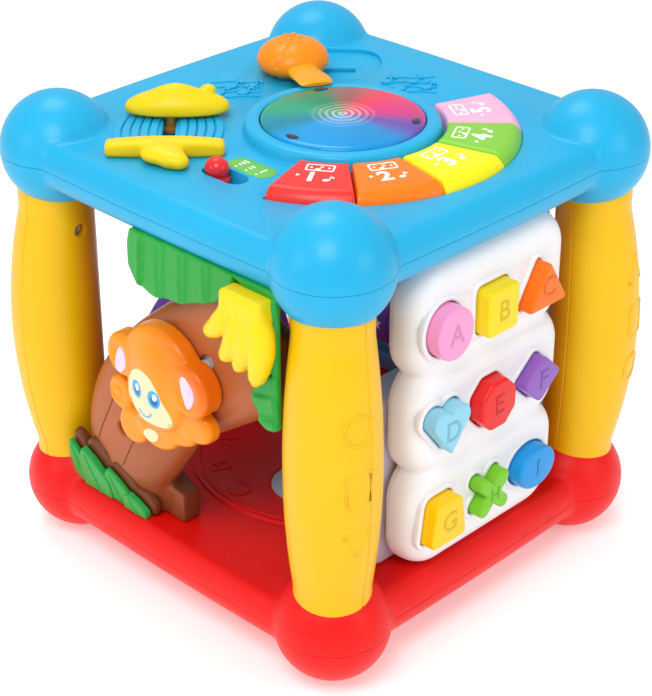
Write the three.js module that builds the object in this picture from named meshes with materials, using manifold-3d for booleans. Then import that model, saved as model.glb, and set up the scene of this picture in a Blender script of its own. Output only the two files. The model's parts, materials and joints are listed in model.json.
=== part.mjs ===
import * as THREE from 'three';
import { mergeVertices } from 'three/addons/utils/BufferGeometryUtils.js';
import Module from 'manifold-3d';

const wasm = await Module();
wasm.setup();

// Frame, mm: X across the letter side, Y deep, Z up, floor at z = 0.
const HALF_X = 115;             // ball centres
const HALF_Y = 118.8;
const BALL_R = 36.5;
const BASE_Z = 36.1;            // joint line of the base
const TOP_Z = 275.6;            // joint line of the top unit
const SLAB_T = 15;              // slab half thickness
const SLAB_X = 143;             // slab half size at the corners
const SLAB_Y = 143;
const SLAB_BULGE = 3;
const WALL = 3;
const GAP = 0.3;
const FLOOR = BASE_Z + SLAB_T;
const DECK = TOP_Z + SLAB_T;
const CEILING = TOP_Z - SLAB_T;

// Legs
const LEG_MID = 152;
const LEG_R = 29.2;
const LEG_BOW = 9.2;
const LEG_CURVE = 7.5e-4;
const LEG_END = 5.3;              // radius lost at each end
const SCREW_Z = 226;

// Spinner, lever and keys
const HUB = [0, -15.5];
const DISC_R = 50.6;
const DISC_TOP = 302;
const KEY_IN = 63;
const KEY_OUT = 109;
const KEY_START = 199.5;
const KEY_STEP = 28.4;
const KEY_TOP = DECK + 7.2;
const KEY_SKIRT = 8;
const LEVER_R = 104;
const LEVER_AT = 62.3;
const LEVER_FROM = 37;
const LEVER_TO = 75.5;

// Side panels
const PANEL_SEAM = 122.5;       // distance of each panel's joint plane from the centre
const LOBE_W = 69.8;
const LOBE_H = 38.3;
const LOBE_R = 26;
const LOBE_PITCH = 65.9;
const PANEL_D = 18.5;
const PANEL_MID = (FLOOR + CEILING) / 2;
const BUTTON_PITCH = 42;
const BUTTON_ROW = 64.3;
const BUTTON_OUT = 29.5;

const rad = THREE.MathUtils.degToRad;
const group = new THREE.Group();
group.name = 'activity_cube';

function solid(geometry) {
  const bare = geometry.clone();
  bare.deleteAttribute('normal');
  bare.deleteAttribute('uv');
  const merged = mergeVertices(bare, 1e-4);
  return new wasm.Manifold(new wasm.Mesh({
    numProp: 3,
    vertProperties: new Float32Array(merged.attributes.position.array),
    triVerts: new Uint32Array(merged.index.array),
  }));
}

function add(name, body, color, roughness = 0.35) {
  const mesh = body.getMesh();
  const geometry = new THREE.BufferGeometry();
  geometry.setAttribute('position', new THREE.BufferAttribute(mesh.vertProperties, 3));
  geometry.setIndex(new THREE.BufferAttribute(mesh.triVerts, 1));
  const flat = geometry.toNonIndexed();
  flat.computeVertexNormals();
  const node = new THREE.Mesh(flat, new THREE.MeshStandardMaterial({ color, roughness }));
  node.name = name;
  group.add(node);
}

const join = (...parts) => parts.reduce((sum, part) => sum.add(part));
const cut = (body, ...tools) => tools.reduce((rest, tool) => rest.subtract(tool), body);

function box(x0, x1, y0, y1, z0, z1) {
  const geometry = new THREE.BoxGeometry(x1 - x0, y1 - y0, z1 - z0);
  return solid(geometry.translate((x0 + x1) / 2, (y0 + y1) / 2, (z0 + z1) / 2));
}

function rod(r, x, y, z0, z1, sides = 20, rTop = r) {
  const geometry = new THREE.CylinderGeometry(rTop, r, z1 - z0, sides).rotateX(Math.PI / 2);
  return solid(geometry.translate(x, y, (z0 + z1) / 2));
}

function ball(r, x, y, z, sides = 20, squash = 1) {
  const geometry = new THREE.SphereGeometry(r, sides, Math.round(sides * 0.6)).rotateX(Math.PI / 2);
  return solid(geometry.scale(1, 1, squash).translate(x, y, z));
}

function lathe(profile, x, y, sides = 40) {
  const points = profile.map(([r, z]) => new THREE.Vector2(r, z));
  return solid(new THREE.LatheGeometry(points, sides).rotateX(Math.PI / 2).translate(x, y, 0));
}

// Closed body through rings that all have the same number of points.
function loft(rings) {
  const n = rings[0].length;
  const last = (rings.length - 1) * n;
  const index = [];
  for (let k = 0; k + 1 < rings.length; k += 1) {
    for (let i = 0; i < n; i += 1) {
      const [a, b] = [k * n + i, k * n + ((i + 1) % n)];
      index.push(a, b, b + n, a, b + n, a + n);
    }
  }
  for (let i = 1; i + 1 < n; i += 1) index.push(0, i + 1, i, last, last + i, last + i + 1);
  const points = rings.flat();
  let volume = 0;
  for (let t = 0; t < index.length; t += 3) {
    volume += points[index[t]].dot(points[index[t + 1]].clone().cross(points[index[t + 2]]));
  }
  if (volume < 0) index.reverse();
  const geometry = new THREE.BufferGeometry();
  const positions = points.flatMap((p) => [p.x, p.y, p.z]);
  geometry.setAttribute('position', new THREE.Float32BufferAttribute(positions, 3));
  geometry.setIndex(index);
  return solid(geometry);
}

function prism(points, z0, z1, bevel = 0) {
  const shape = points instanceof THREE.Shape ? points
    : new THREE.Shape(points.map(([x, y]) => new THREE.Vector2(x, y)));
  const geometry = new THREE.ExtrudeGeometry(shape, {
    depth: z1 - z0 - 2 * bevel, bevelEnabled: bevel > 0, bevelSize: bevel,
    bevelThickness: bevel, bevelOffset: -bevel, bevelSegments: 1, curveSegments: 5,
  });
  return solid(geometry.translate(0, 0, z0 + bevel));
}

// Local x runs right, y up and z out of a side; quarter 0 is -Y, -1 is -X, 1 is +X, 2 is +Y.
const onSide = (body, quarter) => body.rotate([90, 0, 0]).rotate([0, 0, 90 * quarter]);

function arcPoints(r, from, to, steps, [x, y] = [0, 0]) {
  return Array.from({ length: steps + 1 }, (_, i) => {
    const a = rad(from + ((to - from) * i) / steps);
    return [x + r * Math.cos(a), y + r * Math.sin(a)];
  });
}

function roundRect(w, h, r, steps = 4, [x, y] = [0, 0]) {
  const corners = [[w - r, h - r, 0], [r - w, h - r, 90], [r - w, r - h, 180], [w - r, r - h, 270]];
  return corners.flatMap(([cx, cy, a]) => arcPoints(r, a, a + 90, steps, [x + cx, y + cy]));
}

const sector = (r0, r1, from, to, steps) => [
  ...arcPoints(r1, from, to, steps, HUB), ...arcPoints(r0, to, from, steps, HUB),
];

// Bar with round ends from one point to another.
function bar([x0, y0], [x1, y1], r) {
  const a = THREE.MathUtils.radToDeg(Math.atan2(y1 - y0, x1 - x0));
  return [...arcPoints(r, a - 90, a + 90, 6, [x1, y1]), ...arcPoints(r, a + 90, a + 270, 6, [x0, y0])];
}

// Slab outline with slightly bowed sides.
function slabRing(inset, z) {
  const corners = [[1, -1], [1, 1], [-1, 1], [-1, -1]];
  return corners.flatMap(([sx, sy], i) => {
    const [ex, ey] = corners[(i + 1) % 4];
    return Array.from({ length: 4 }, (_, k) => {
      const t = k / 4;
      const swell = SLAB_BULGE * 4 * t * (1 - t);
      const x = (SLAB_X - inset) * (sx + (ex - sx) * t) + (sx === ex ? sx * swell : 0);
      const y = (SLAB_Y - inset) * (sy + (ey - sy) * t) + (sy === ey ? sy * swell : 0);
      return new THREE.Vector3(x, y, z);
    });
  });
}

function slabUnit(zMid) {
  const rings = [-1, -0.75, 0.75, 1].map((t) => {
    const inset = 10 * (1 - Math.sqrt(1 - 0.985 * t * t));
    return slabRing(inset, zMid + t * SLAB_T);
  });
  let unit = loft(rings);
  for (const sx of [-1, 1]) {
    for (const sy of [-1, 1]) unit = unit.add(ball(BALL_R, sx * HALF_X, sy * HALF_Y, zMid));
  }
  const hollow = SLAB_T - WALL;
  return cut(unit,
    box(-91, 91, -133, 133, zMid - hollow, zMid + hollow),
    box(-132, 132, -95, 95, zMid - hollow, zMid + hollow));
}

const above = (z) => box(-200, 200, -200, 200, z, z + 400);
const below = (z) => box(-200, 200, -200, 200, z - 400, z);
const CORNERS = [['front_left', -1, -1], ['front_right', 1, -1], ['back_right', 1, 1], ['back_left', -1, 1]];

// Base
const legBow = (z) => Math.min(LEG_END, LEG_CURVE * (z - LEG_MID) ** 2);
const legShift = (z) => (LEG_BOW - legBow(z)) * Math.SQRT1_2;
const sockets = (z0, z1) => join(...CORNERS.map(([, sx, sy]) => rod(LEG_R - LEG_END + GAP,
  sx * (HALF_X + legShift(0)), sy * (HALF_Y + legShift(0)), z0, z1, 16)));
const CAP_AT = [-37, -20];
const baseUnit = slabUnit(BASE_Z);
const plateau = lathe([[0, FLOOR - 1], [90, FLOOR - 1], [89, FLOOR + 1.4], [87, FLOOR + 2], [0, FLOOR + 2]],
  0, 0, 28);
add('base_cover', cut(join(baseUnit.intersect(above(BASE_Z + GAP / 2)), plateau),
  sockets(FLOOR + 0.7, FLOOR + 60), rod(24.3, ...CAP_AT, FLOOR - 6, FLOOR + 6, 24)), '#e8202a');
add('base_tray', cut(baseUnit.intersect(below(BASE_Z - GAP / 2)), below(0)), '#e8202a');
add('floor_cap', lathe([[0, FLOOR - 5], [26, FLOOR - 5], [26, FLOOR - 3.3], [24, FLOOR - 3.3],
  [24, FLOOR + 2.4], [22, FLOOR + 3.4], [0, FLOOR + 3.8]], ...CAP_AT, 24), '#c9c6cc');

// Top unit
const fan = sector(KEY_IN - 0.4, KEY_OUT + 0.4, KEY_START - 0.3, KEY_START + 5 * KEY_STEP + 0.3, 20);
const PAIR = [-99, 36];                    // fixed cymbal; the pair's axis runs at 45 degrees
const along = (s, w = 0) => [PAIR[0] + (s + w) * Math.SQRT1_2, PAIR[1] + (s - w) * Math.SQRT1_2];
const VOLUME = [-95, -12];
const ringRim = lathe([[52, DECK - 2], [62.2, DECK - 2], [61.6, DECK + 4.5], [57.5, DECK + 9],
  [53.5, DECK + 9], [52, DECK + 7.5], [52, DECK - 2]], ...HUB, 32);
const cymbalPad = prism([along(20, -33), along(20, 33), along(46, 33), along(46, -33)].reverse(),
  DECK - 1, DECK + 1.6);
const topUnit = slabUnit(TOP_Z);
add('top_cover', cut(join(topUnit.intersect(above(TOP_Z + GAP / 2)), ringRim, cymbalPad),
  prism(fan, DECK - 10, DECK + 3),
  rod(6.4, ...HUB, DECK - 10, DECK + 10, 16),
  prism(sector(LEVER_R - 3.9, LEVER_R + 3.9, LEVER_FROM, LEVER_TO, 6), DECK - 10, DECK + 3),
  prism(bar(along(24), along(62), 4), DECK - 10, DECK + 8),
  prism(bar([VOLUME[0], VOLUME[1] - 9], [VOLUME[0], VOLUME[1] + 9], 6), DECK - 10, DECK + 3),
), '#3cb4eb');
add('top_tray', cut(topUnit.intersect(below(TOP_Z - GAP / 2)),
  sockets(CEILING - 60, CEILING - 0.7),
  ...Array.from({ length: 7 }, (_, i) => {
    const [x, y] = i ? [50 + 9 * Math.cos(rad(60 * i)), 20 + 9 * Math.sin(rad(60 * i))] : [50, 20];
    return rod(2, x, y, CEILING - 2, CEILING + 5, 10);
  })), '#3cb4eb');

// Legs, bowed outwards along the diagonal
for (const [name, sx, sy] of CORNERS) {
  const at = (z) => [sx * (HALF_X + legShift(z)), sy * (HALF_Y + legShift(z))];
  const heights = [FLOOR + 1, ...Array.from({ length: 7 }, (_, k) => 68 + 28 * k), CEILING - 1];
  const rings = heights.map((z) => arcPoints(LEG_R - legBow(z), 0, 360, 16, at(z)).slice(0, 16)
    .map(([x, y]) => new THREE.Vector3(x, y, z)));
  const turn = { front_left: 0, front_right: 90, back_right: 180, back_left: -90 }[name];
  const place = (body) => body.rotate([0, 90, 0]).rotate([0, 0, turn]).translate([...at(SCREW_Z), SCREW_Z]);
  const deep = LEG_R - legBow(SCREW_Z) - 6;
  add(`leg_${name}`, cut(loft(rings), place(rod(4.4, 0, 0, deep, 60, 12)),
    place(rod(1.9, 0, 0, deep - 12, deep + 1, 8))), '#fadc0a');
  add(`leg_screw_${name}`, place(join(rod(3.8, 0, 0, deep + 0.1, deep + 2.6, 10),
    rod(1.6, 0, 0, deep - 11, deep + 1, 8))), '#b8bcc2', 0.3);
}

// Spinner disc on its shaft, and the clip that holds it from below
add('spinner_disc', join(
  lathe([[0, DECK + 2], [DISC_R, DECK + 2], [DISC_R, DISC_TOP - 2.6], [DISC_R - 1.6, DISC_TOP - 1.4],
    [25, DISC_TOP - 0.3], [0, DISC_TOP]], ...HUB, 32),
  rod(6, ...HUB, DECK - 12, DECK + 4, 16)), '#00b48c');
add('spinner_clip', cut(rod(11, ...HUB, DECK - 10.2, DECK - 7, 16),
  rod(6.05, ...HUB, 200, 400, 16)), '#e8e8ea');

// Lever: arm under the deck, stem through the slot, handle and head above
const polar = (r, a) => [HUB[0] + r * Math.cos(rad(a)), HUB[1] + r * Math.sin(rad(a))];
const HEAD = polar(LEVER_R, LEVER_AT);
add('lever_arm', join(
  cut(join(rod(12, ...HUB, DECK - 6.5, DECK - 3.5, 16),
    prism(bar(polar(8, LEVER_AT), HEAD, 5), DECK - 6.5, DECK - 3.5)), rod(6.6, ...HUB, 200, 400, 16)),
  rod(3.4, ...HEAD, DECK - 5, DECK + 7, 12)), '#e8e8ea');
add('microphone_head', cut(ball(24, ...HEAD, DECK + 14.6, 18, 14 / 24),
  rod(3.45, ...HEAD, 200, DECK + 7.2, 12)), '#ff9c14');
const handleRings = [[50.5, 9, 4], [56, 11, 4.6], [74, 12.5, 5.2], [90, 12, 6]].map(([r, half, high]) => {
  const z = DECK + 9.6 + high;
  return arcPoints(1, 0, 360, 12).slice(0, 12).map(([c, s]) => {
    const [x, y] = polar(r, LEVER_AT);
    const side = half * c;
    return new THREE.Vector3(x + side * Math.sin(rad(LEVER_AT)), y - side * Math.cos(rad(LEVER_AT)),
      z + high * s);
  });
});
add('microphone_handle', cut(loft(handleRings.map((ring) => ring.reverse())),
  ball(24.2, ...HEAD, DECK + 14.6, 18, 14.2 / 24.2)), '#e1af2d');

// Keys
const KEYS = [['red', '#eb3c37'], ['orange', '#fa7d1e'], ['yellow', '#faeb28'], ['green', '#8cc846'],
  ['pink', '#f8b4d2']];
KEYS.forEach(([name, color], i) => {
  const from = KEY_START + i * KEY_STEP;
  const edge = (r) => (180 / Math.PI) * (0.3 / r);
  const outline = [...arcPoints(KEY_OUT, from + edge(KEY_OUT), from + KEY_STEP - edge(KEY_OUT), 5, HUB),
    ...arcPoints(KEY_IN, from + KEY_STEP - edge(KEY_IN), from + edge(KEY_IN), 4, HUB)];
  const top = prism(outline, DECK - KEY_SKIRT, KEY_TOP, 2.2);
  add(`key_${name}`, top, color);
});

// Cymbal pair
const domeRing = (s, half, high, lift = 0.3) => arcPoints(1, 0, 360, 14).slice(0, 14).map(([c, q]) => {
  const pull = (v) => Math.sign(v) * Math.abs(v) ** 0.7;
  const [x, y] = along(s, half * pull(c));
  return new THREE.Vector3(x, y, DECK + lift + (high * (1 + pull(q))) / 2);
});
const stub = (s0, s1, r, z, w = 0) => loft([[s0, r], [s1 - r * 0.4, r], [s1, r * 0.55]].map(([s, q]) => (
  arcPoints(q, 0, 360, 10).slice(0, 10).map(([a, b]) => {
    const [x, y] = along(s, w + a);
    return new THREE.Vector3(x, y, z + b);
  }))));
add('cymbal_fixed', join(
  loft([[-14, 22, 12], [-11, 33, 18], [-4, 36, 22], [3, 35, 21]]
    .map(([s, w, h]) => domeRing(s, w, h, -0.02))),
  stub(-30, -12, 7, DECK + 9).add(stub(-24, -12, 11, DECK + 11.2))).intersect(above(DECK + 0.05)), '#faeb28');
add('cymbal_slider', join(
  loft([[47, 33, 24], [52, 35, 27], [60, 32, 26], [68, 24, 20], [74, 13, 15]]
    .map(([s, w, h]) => domeRing(s, w, h, 2))),
  stub(72, 82, 5.5, DECK + 10), rod(3.5, ...along(57), DECK - 8, DECK + 10, 12),
  rod(8, ...along(57), DECK - 8, DECK - 5, 14)), '#faeb28');

// Volume knob in its slot
add('volume_knob', join(
  prism(bar([VOLUME[0], VOLUME[1] + 5.5], [VOLUME[0], VOLUME[1] + 9], 5.5), DECK - 4, DECK + 7.5, 1.2),
  prism(roundRect(8, 9, 3, 2, [VOLUME[0], VOLUME[1] + 7]), DECK - 7, DECK - 3.5)), '#eb3232');

// Circuit board and speaker in the top unit
add('main_board', prism(roundRect(48, 34, 3, 2, [-38, 10]), TOP_Z - 6, TOP_Z - 4.4), '#2f7d4f', 0.6);
add('speaker', lathe([[0, TOP_Z - 11.7], [26, TOP_Z - 11.7], [26, TOP_Z - 9], [15, TOP_Z - 4],
  [15, TOP_Z + 1], [0, TOP_Z + 1]], 50, 20, 24), '#3a3a3e', 0.6);

// Letter side: two lobed shells, nine buttons, switch board, housing with cells behind
const pillow = (steps) => join(...[-1, 0, 1].map((k) => loft(steps.map(([z, inset]) => (
  roundRect(LOBE_W - inset, LOBE_H - inset, LOBE_R - inset * 0.6, 4,
    [0, PANEL_MID + k * LOBE_PITCH]).map(([x, y]) => new THREE.Vector3(x, y, z)))))));
const SHELL_STEPS = [[0, 0], [8, 2], [14.5, 8], [PANEL_D, 17]];
const buttonShapes = {
  a: arcPoints(17.5, 0, 360, 18).slice(0, 18),
  b: roundRect(14.5, 16.5, 5, 2),
  c: [[-19, -15.5], [19, -15.5], [20.5, -12], [2.4, 18.6], [-2.4, 18.6], [-20.5, -12]],
  d: [...arcPoints(9.4, -20, 140, 6, [8.6, 7.6]), ...arcPoints(9.4, 40, 200, 6, [-8.6, 7.6]), [0, -18.5]],
  e: arcPoints(18.4, 22.5, 337.5, 7),
  f: [[18.5, 1], [2, 18.5], [-18.5, -1], [-2, -18.5]],
  g: [[-18, -14], [-15.5, -17], [15.5, -17], [18, -14], [14, 14], [11, 17], [-11, 17], [-14, 14]],
  h: [45, 135, 225, 315].flatMap((a) => [...bar([0, 0], arcPoints(14.5, a, a, 1)[0], 5.4).slice(0, 7),
    arcPoints(5.4 * Math.SQRT2, a + 45, a + 45, 1)[0]]),
  i: arcPoints(1, 0, 360, 18).slice(0, 18).map(([x, y]) => [18.5 * x, 15.5 * y]),
};
const buttonColors = ['#f5a0cd', '#f0d714', '#fa7814', '#96d7eb', '#e62d28', '#9664b9', '#facd14',
  '#82c832', '#1ea0e1'];
// Size of each button against its outline above, across and up
const buttonSizes = [[0.87, 0.96], [0.95, 0.93], [0.92, 0.89], [0.88, 0.87], [0.93, 0.95], [0.94, 0.84],
  [0.87, 0.9], [0.87, 0.87], [0.95, 0.92]];
const buttonSpots = Object.keys(buttonShapes).map((key, i) => ({
  key, color: buttonColors[i],
  shape: buttonShapes[key].map(([x, y]) => [x * buttonSizes[i][0], y * buttonSizes[i][1]]),
  x: BUTTON_PITCH * ((i % 3) - 1) - 5, y: PANEL_MID + BUTTON_ROW * (1 - Math.floor(i / 3)) - 1,
}));
const moved = (points, x, y, k = 1) => points.map(([px, py]) => [px * k + x, py * k + y]);
const side = (body, quarter, out = PANEL_SEAM) => onSide(body.translate([0, 0, out]), quarter);
const HOLLOWS = [[6, 4.5, -0.1, 10.9], [12.2, 12.2, 10, PANEL_D - WALL]];
const shellHollow = join(...[-1, 0, 1].flatMap((k) => HOLLOWS.map(([dx, dy, z0, z1]) => (
  prism(roundRect(LOBE_W - dx, LOBE_H - dy, 22, 2, [0, PANEL_MID + k * LOBE_PITCH]), z0, z1)))));
add('letter_panel_front', side(cut(pillow(SHELL_STEPS), shellHollow,
  ...buttonSpots.map(({ shape, x, y }) => prism(moved(shape, x, y, 1.02), 10, 30))), 0), '#eeeef0');
buttonSpots.forEach(({ key, shape, x, y, color }) => {
  add(`button_${key}`, side(join(prism(moved(shape, x, y), 8.5, BUTTON_OUT, 1.6),
    prism(moved(shape, x, y, 1.04), 8, 10.6)), 0), color);
});
const REAR = 7;
const rearSteps = [[-REAR - GAP, 9], [-5, 2.5], [-GAP, 0]];
add('letter_panel_rear', side(cut(pillow(rearSteps),
  prism(roundRect(LOBE_W - 14, 96, 10, 3, [0, PANEL_MID]), 2.5 - REAR, 1)), 0), '#f2ece6');
add('switch_board', side(prism(roundRect(42, 88, 4, 2, [0, PANEL_MID]), 4, 5.6), 0), '#2f7d4f', 0.6);

// Housing behind the letter side, with its cells and door on the inner face
const HOUSE_D = 24;
const HOUSE_AT = PANEL_SEAM - REAR - 2 * GAP - HOUSE_D;
const CELL_MID = [-8, FLOOR + 55];
add('battery_housing', side(cut(prism(roundRect(72, 58, 14, 4, [-8, FLOOR + 58.6]), 0, HOUSE_D, 1.5),
  prism(roundRect(30, 27, 3, 2, CELL_MID), -1, HOUSE_D - 3)), 0, HOUSE_AT), '#cfc8d6');
add('battery_door', side(prism(roundRect(29.6, 26.6, 2.8, 2, CELL_MID), 0.4, 2.8), 0, HOUSE_AT), '#cfc8d6');
[-1, 0, 1].forEach((k) => {
  const cell = join(rod(7.1, 0, 0, -24.3, 24.3, 18), rod(2.6, 0, 0, 24, 25.6, 10)).rotate([0, 90, 0]);
  add(`cell_${k + 2}`, side(cell.translate([CELL_MID[0], CELL_MID[1] + 16 * k, 12.5]), 0, HOUSE_AT),
    '#3d7fb5', 0.4);
});

// Tree side: trunk leans to the right on a curved line
const TREE = 122;
const TREE_D = 17;
const LEAN = 14;
const trunkPath = new THREE.CatmullRomCurve3([[-48, FLOOR + GAP, 33], [-49, 84, 41], [-38, 118, 43],
  [-16, 150, 41], [12, 180, 37], [36, 206, 31], [53, 234, 26], [57, 262, 24]]
  .map(([u, v, half]) => new THREE.Vector3(u, v, half)));
const trunkRings = Array.from({ length: 9 }, (_, k) => {
  const p = trunkPath.getPoint(k / 8);
  const t = k ? trunkPath.getTangent(k / 8).setZ(0).normalize() : new THREE.Vector3(0, 1, 0);
  return arcPoints(1, 0, 360, 14).slice(0, 14).map(([c, q]) => {
    const across = p.z * Math.sign(c) * Math.abs(c) ** 0.85;
    const deep = TREE_D * (q > 0 ? [0.3, 0.88][k] ?? 1 : 1);    // front leans back to the floor
    return new THREE.Vector3(p.x - t.y * across, p.y + t.x * across, deep * Math.sign(q)
      * Math.abs(q) ** 0.85);
  });
});
const root = loft([[0, 1], [10, 0.85], [17, 0.7]].map(([d, k]) => (
  roundRect(13 * k, 15 * k, 5 * k, 2).map(([x, y]) => new THREE.Vector3(x, y, d)))));
const trunk = cut(join(loft(trunkRings),
  root.rotate([0, 65, 0]).translate([-20, FLOOR + 15, -9])),
box(-200, 200, FLOOR - 60, FLOOR + GAP, -60, 60), box(-200, 200, CEILING - GAP, 400, -60, 60));
const SLIDE = [Math.cos(rad(44.4)), Math.sin(rad(44.4))];
const slotPoint = (s) => [-1 + SLIDE[0] * s, 154 + SLIDE[1] * s];
const SLOT_HALF = 57.5;
const STEM_FROM = -27;                    // carriage stem along the slot, with the monkey at rest
const STEM_TO = 49;
const trunkHollow = prism(bar(slotPoint(-68), slotPoint(66), 15), -TREE_D + WALL, TREE_D - WALL);
const front = box(-300, 300, -300, 600, GAP / 2, 100);
const rear = box(-300, 300, -300, 600, -100, -GAP / 2);
add('trunk_front', side(cut(trunk.intersect(front), trunkHollow,
  prism(bar(slotPoint(-SLOT_HALF), slotPoint(SLOT_HALF), 4.6), 5, 40)), -1, TREE), '#af643c', 0.5);
add('trunk_rear', side(cut(trunk.intersect(rear), trunkHollow), -1, TREE), '#8a4a28', 0.5);

// Flat cushion with a rounded front, standing on the trunk.
const ON_TREE = TREE_D + 0.8;
const puck = (x, y, rx, ry, deep, sides = 14) => loft([[0, 1], [0.55, 1], [0.85, 0.88], [1, 0.6]].map(
  ([t, k]) => arcPoints(k, 0, 360, sides).slice(0, sides)
    .map(([c, q]) => new THREE.Vector3(x + rx * c, y + ry * q, ON_TREE + deep * t))));
add('monkey', side(join(
  puck(8, 181, 31, 28, 17, 18), puck(-24, 179, 13, 15, 13), puck(37, 178, 17, 17, 14.5, 16),
  puck(2, 138, 19, 16, 13), puck(-21, 129, 13, 13, 10, 12), puck(-33, 147, 11, 12, 8, 10),
  puck(37, 152, 14, 11, 11, 12), puck(18, 146, 18, 14, 12, 12),
), -1, TREE), '#fa9614');
add('monkey_carriage', side(join(
  prism(bar(slotPoint(STEM_FROM), slotPoint(STEM_TO), 4), ON_TREE - 9.4, ON_TREE - 0.1),
  prism(bar(slotPoint(STEM_FROM - 3), slotPoint(STEM_TO), 10), 8.5, 12.6)), -1, TREE), '#e8e8ea');

const banana = (x, y, a, long, r) => {
  const curve = new THREE.QuadraticBezierCurve3(new THREE.Vector3(0, 0, 0),
    new THREE.Vector3(-long * 0.02, -long * 0.6, 3), new THREE.Vector3(-long * 0.5, -long, 0));
  const rings = [0, 0.2, 0.5, 0.85, 1].map((t, k) => {
    const p = curve.getPoint(t);
    const half = r * [0.7, 0.95, 1, 0.75, 0.3][k];
    return arcPoints(half, 0, 360, 8).slice(0, 8).map(([c, q]) => new THREE.Vector3(p.x + c, p.y, p.z + q));
  });
  return loft(rings).rotate([0, 0, a]).translate([x, y, ON_TREE + 8.5]);
};
const bunch = (grow) => join(
  prism(roundRect(17 + grow, 6.5 + grow, 5, 2, [84, 252.5]), ON_TREE, ON_TREE + 15, 3),
  banana(74, 250, -14, 31, 7.6 + grow), banana(81, 249, 3, 37, 8 + grow),
  banana(88, 249, 10, 38, 8 + grow), banana(94, 250, 22, 41, 8.6 + grow));
add('banana_bunch', side(bunch(0).intersect(box(-200, 200, 0, CEILING - GAP, ON_TREE, 60)), -1, TREE),
  '#faf03c');

// Leaves: outline swept by a row of ribs
const leaf = (from, to, half, thick) => {
  const [dx, dy] = [to[0] - from[0], to[1] - from[1]];
  const long = Math.hypot(dx, dy);
  const edge = Array.from({ length: 9 }, (_, k) => (
    [(long * k) / 8, half * Math.sin(Math.PI * (0.12 + 0.1 * k)) ** 0.7]));
  const outline = [...edge.map(([s, h]) => [s, -h]), ...edge.reverse().map(([s, h]) => [s, h])];
  return join(prism(outline, 0, thick, 0.8), prism(bar([2, 0], [long - 4, 0], 2), thick - 1, thick + 1.6))
    .rotate([0, 0, THREE.MathUtils.radToDeg(Math.atan2(dy, dx))]).translate([...from, 0]);
};
const leafSpace = box(-200, 103, 0, CEILING - GAP, -60, 60);
const leafBody = (from, to, half, thick) => side(cut(leaf(from, to, half, thick)
  .translate([0, 0, ON_TREE]).intersect(leafSpace), bunch(0.6)), -1, TREE);
add('leaf_top', leafBody([60, 247], [-24, 241], 22, 5), '#3cb950', 0.45);
add('leaf_side', leafBody([98, 236], [94, 172], 15, 4), '#3cb950', 0.45);
// Blades lean back with the trunk's foot, on the floor.
const blades = [[-94, 35, 9], [-80, 31, 13], [-60, 25, 12], [-43, 14, 10]].map(([x, high, half], i) => (
  prism([[x - half, -2], [x + half, -2], [x + half * 0.8, high * 0.5], [x - half * 0.2, high],
    [x - half * 0.9, high * 0.55]], 0.01 * i, 4.2 + 0.01 * i, 0.8)));
add('grass', side(cut(join(...blades).rotate([LEAN, 0, 0]).translate([0, FLOOR, 9])
  .intersect(box(-200, 200, FLOOR + GAP, 200, -60, 60)),
ball(BALL_R + 1.5, -HALF_Y, BASE_Z, HALF_X - TREE)), -1, TREE), '#4bbe5f', 0.45);

// Far right side: rollers in a frame with a leafy top
const ROLL_R = 25;
const ROLLS = [FLOOR + 46, FLOOR + 104];
const rollerAt = (body, z) => body.rotate([0, 90, 0]).translate([-6, z, 0]);
add('roller_frame', side(cut(prism(roundRect(78, 70, 12, 3, [-6, FLOOR + 70.5]), -12, 12, 2),
  prism(roundRect(66, 61, 8, 3, [-6, FLOOR + 75]), -20, 20),
  ...ROLLS.map((z) => rollerAt(rod(4.4, 0, 0, -72, 72, 10), z))), 1, TREE), '#5b82aa');
ROLLS.forEach((z, i) => {
  const roller = join(lathe([[0, -64.6], [ROLL_R - 2.5, -64.6], [ROLL_R, -62], [ROLL_R, 62],
    [ROLL_R - 2.5, 64.6], [0, 64.6]], 0, 0, 20), rod(4, 0, 0, -71.5, 71.5, 10));
  add(`roller_${i + 1}`, side(rollerAt(roller, z), 1, TREE), i ? '#f08a28' : '#6e46a0');
});
add('roller_crown', side(prism([[-84, 208], [-76, 196], [68, 196], [78, 206], [62, 244], [24, 258],
  [-30, 258], [-68, 246]], -8, 8, 2), 1, TREE), '#96cd3c');

// Far side: domed panel with a turning wheel
const DOME = [-10, FLOOR + GAP];
const domeOutline = (k) => arcPoints(1, 0, 180, 16).map(([x, y]) => [DOME[0] + (72 - k) * x,
  DOME[1] + (95 - k) * y]);
add('dome_front', side(cut(prism(domeOutline(0), GAP / 2, 16, 3), prism(domeOutline(9).map(
  ([x, y]) => [x, y + 4]), -1, 13), rod(5.3, -10, FLOOR + 46, 0, 30, 14)), 2, TREE - 3), '#6e46a0');
add('dome_rear', side(prism(domeOutline(0), -5, -GAP / 2, 1.5), 2, TREE - 3), '#6e46a0');
const wheelRim = arcPoints(1, 0, 360, 32).slice(0, 32).map(([x, y], i) => {
  const r = 31 + 3 * Math.cos(rad(90) * i);
  return [-10 + r * x, FLOOR + 46 + r * y];
});
add('wheel', side(join(prism(wheelRim, 16.6, 25, 2), rod(5, -10, FLOOR + 46, 8, 20, 14),
  rod(9, -10, FLOOR + 46, 8, 12, 14)), 2, TREE - 3), '#f08a28');

// The origin lies under the middle of the whole toy.
const bounds = new THREE.Box3().setFromObject(group);
group.position.x = -(bounds.min.x + bounds.max.x) / 2;
group.position.y = -(bounds.min.y + bounds.max.y) / 2;

export default group;
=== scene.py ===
import json
import math

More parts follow.
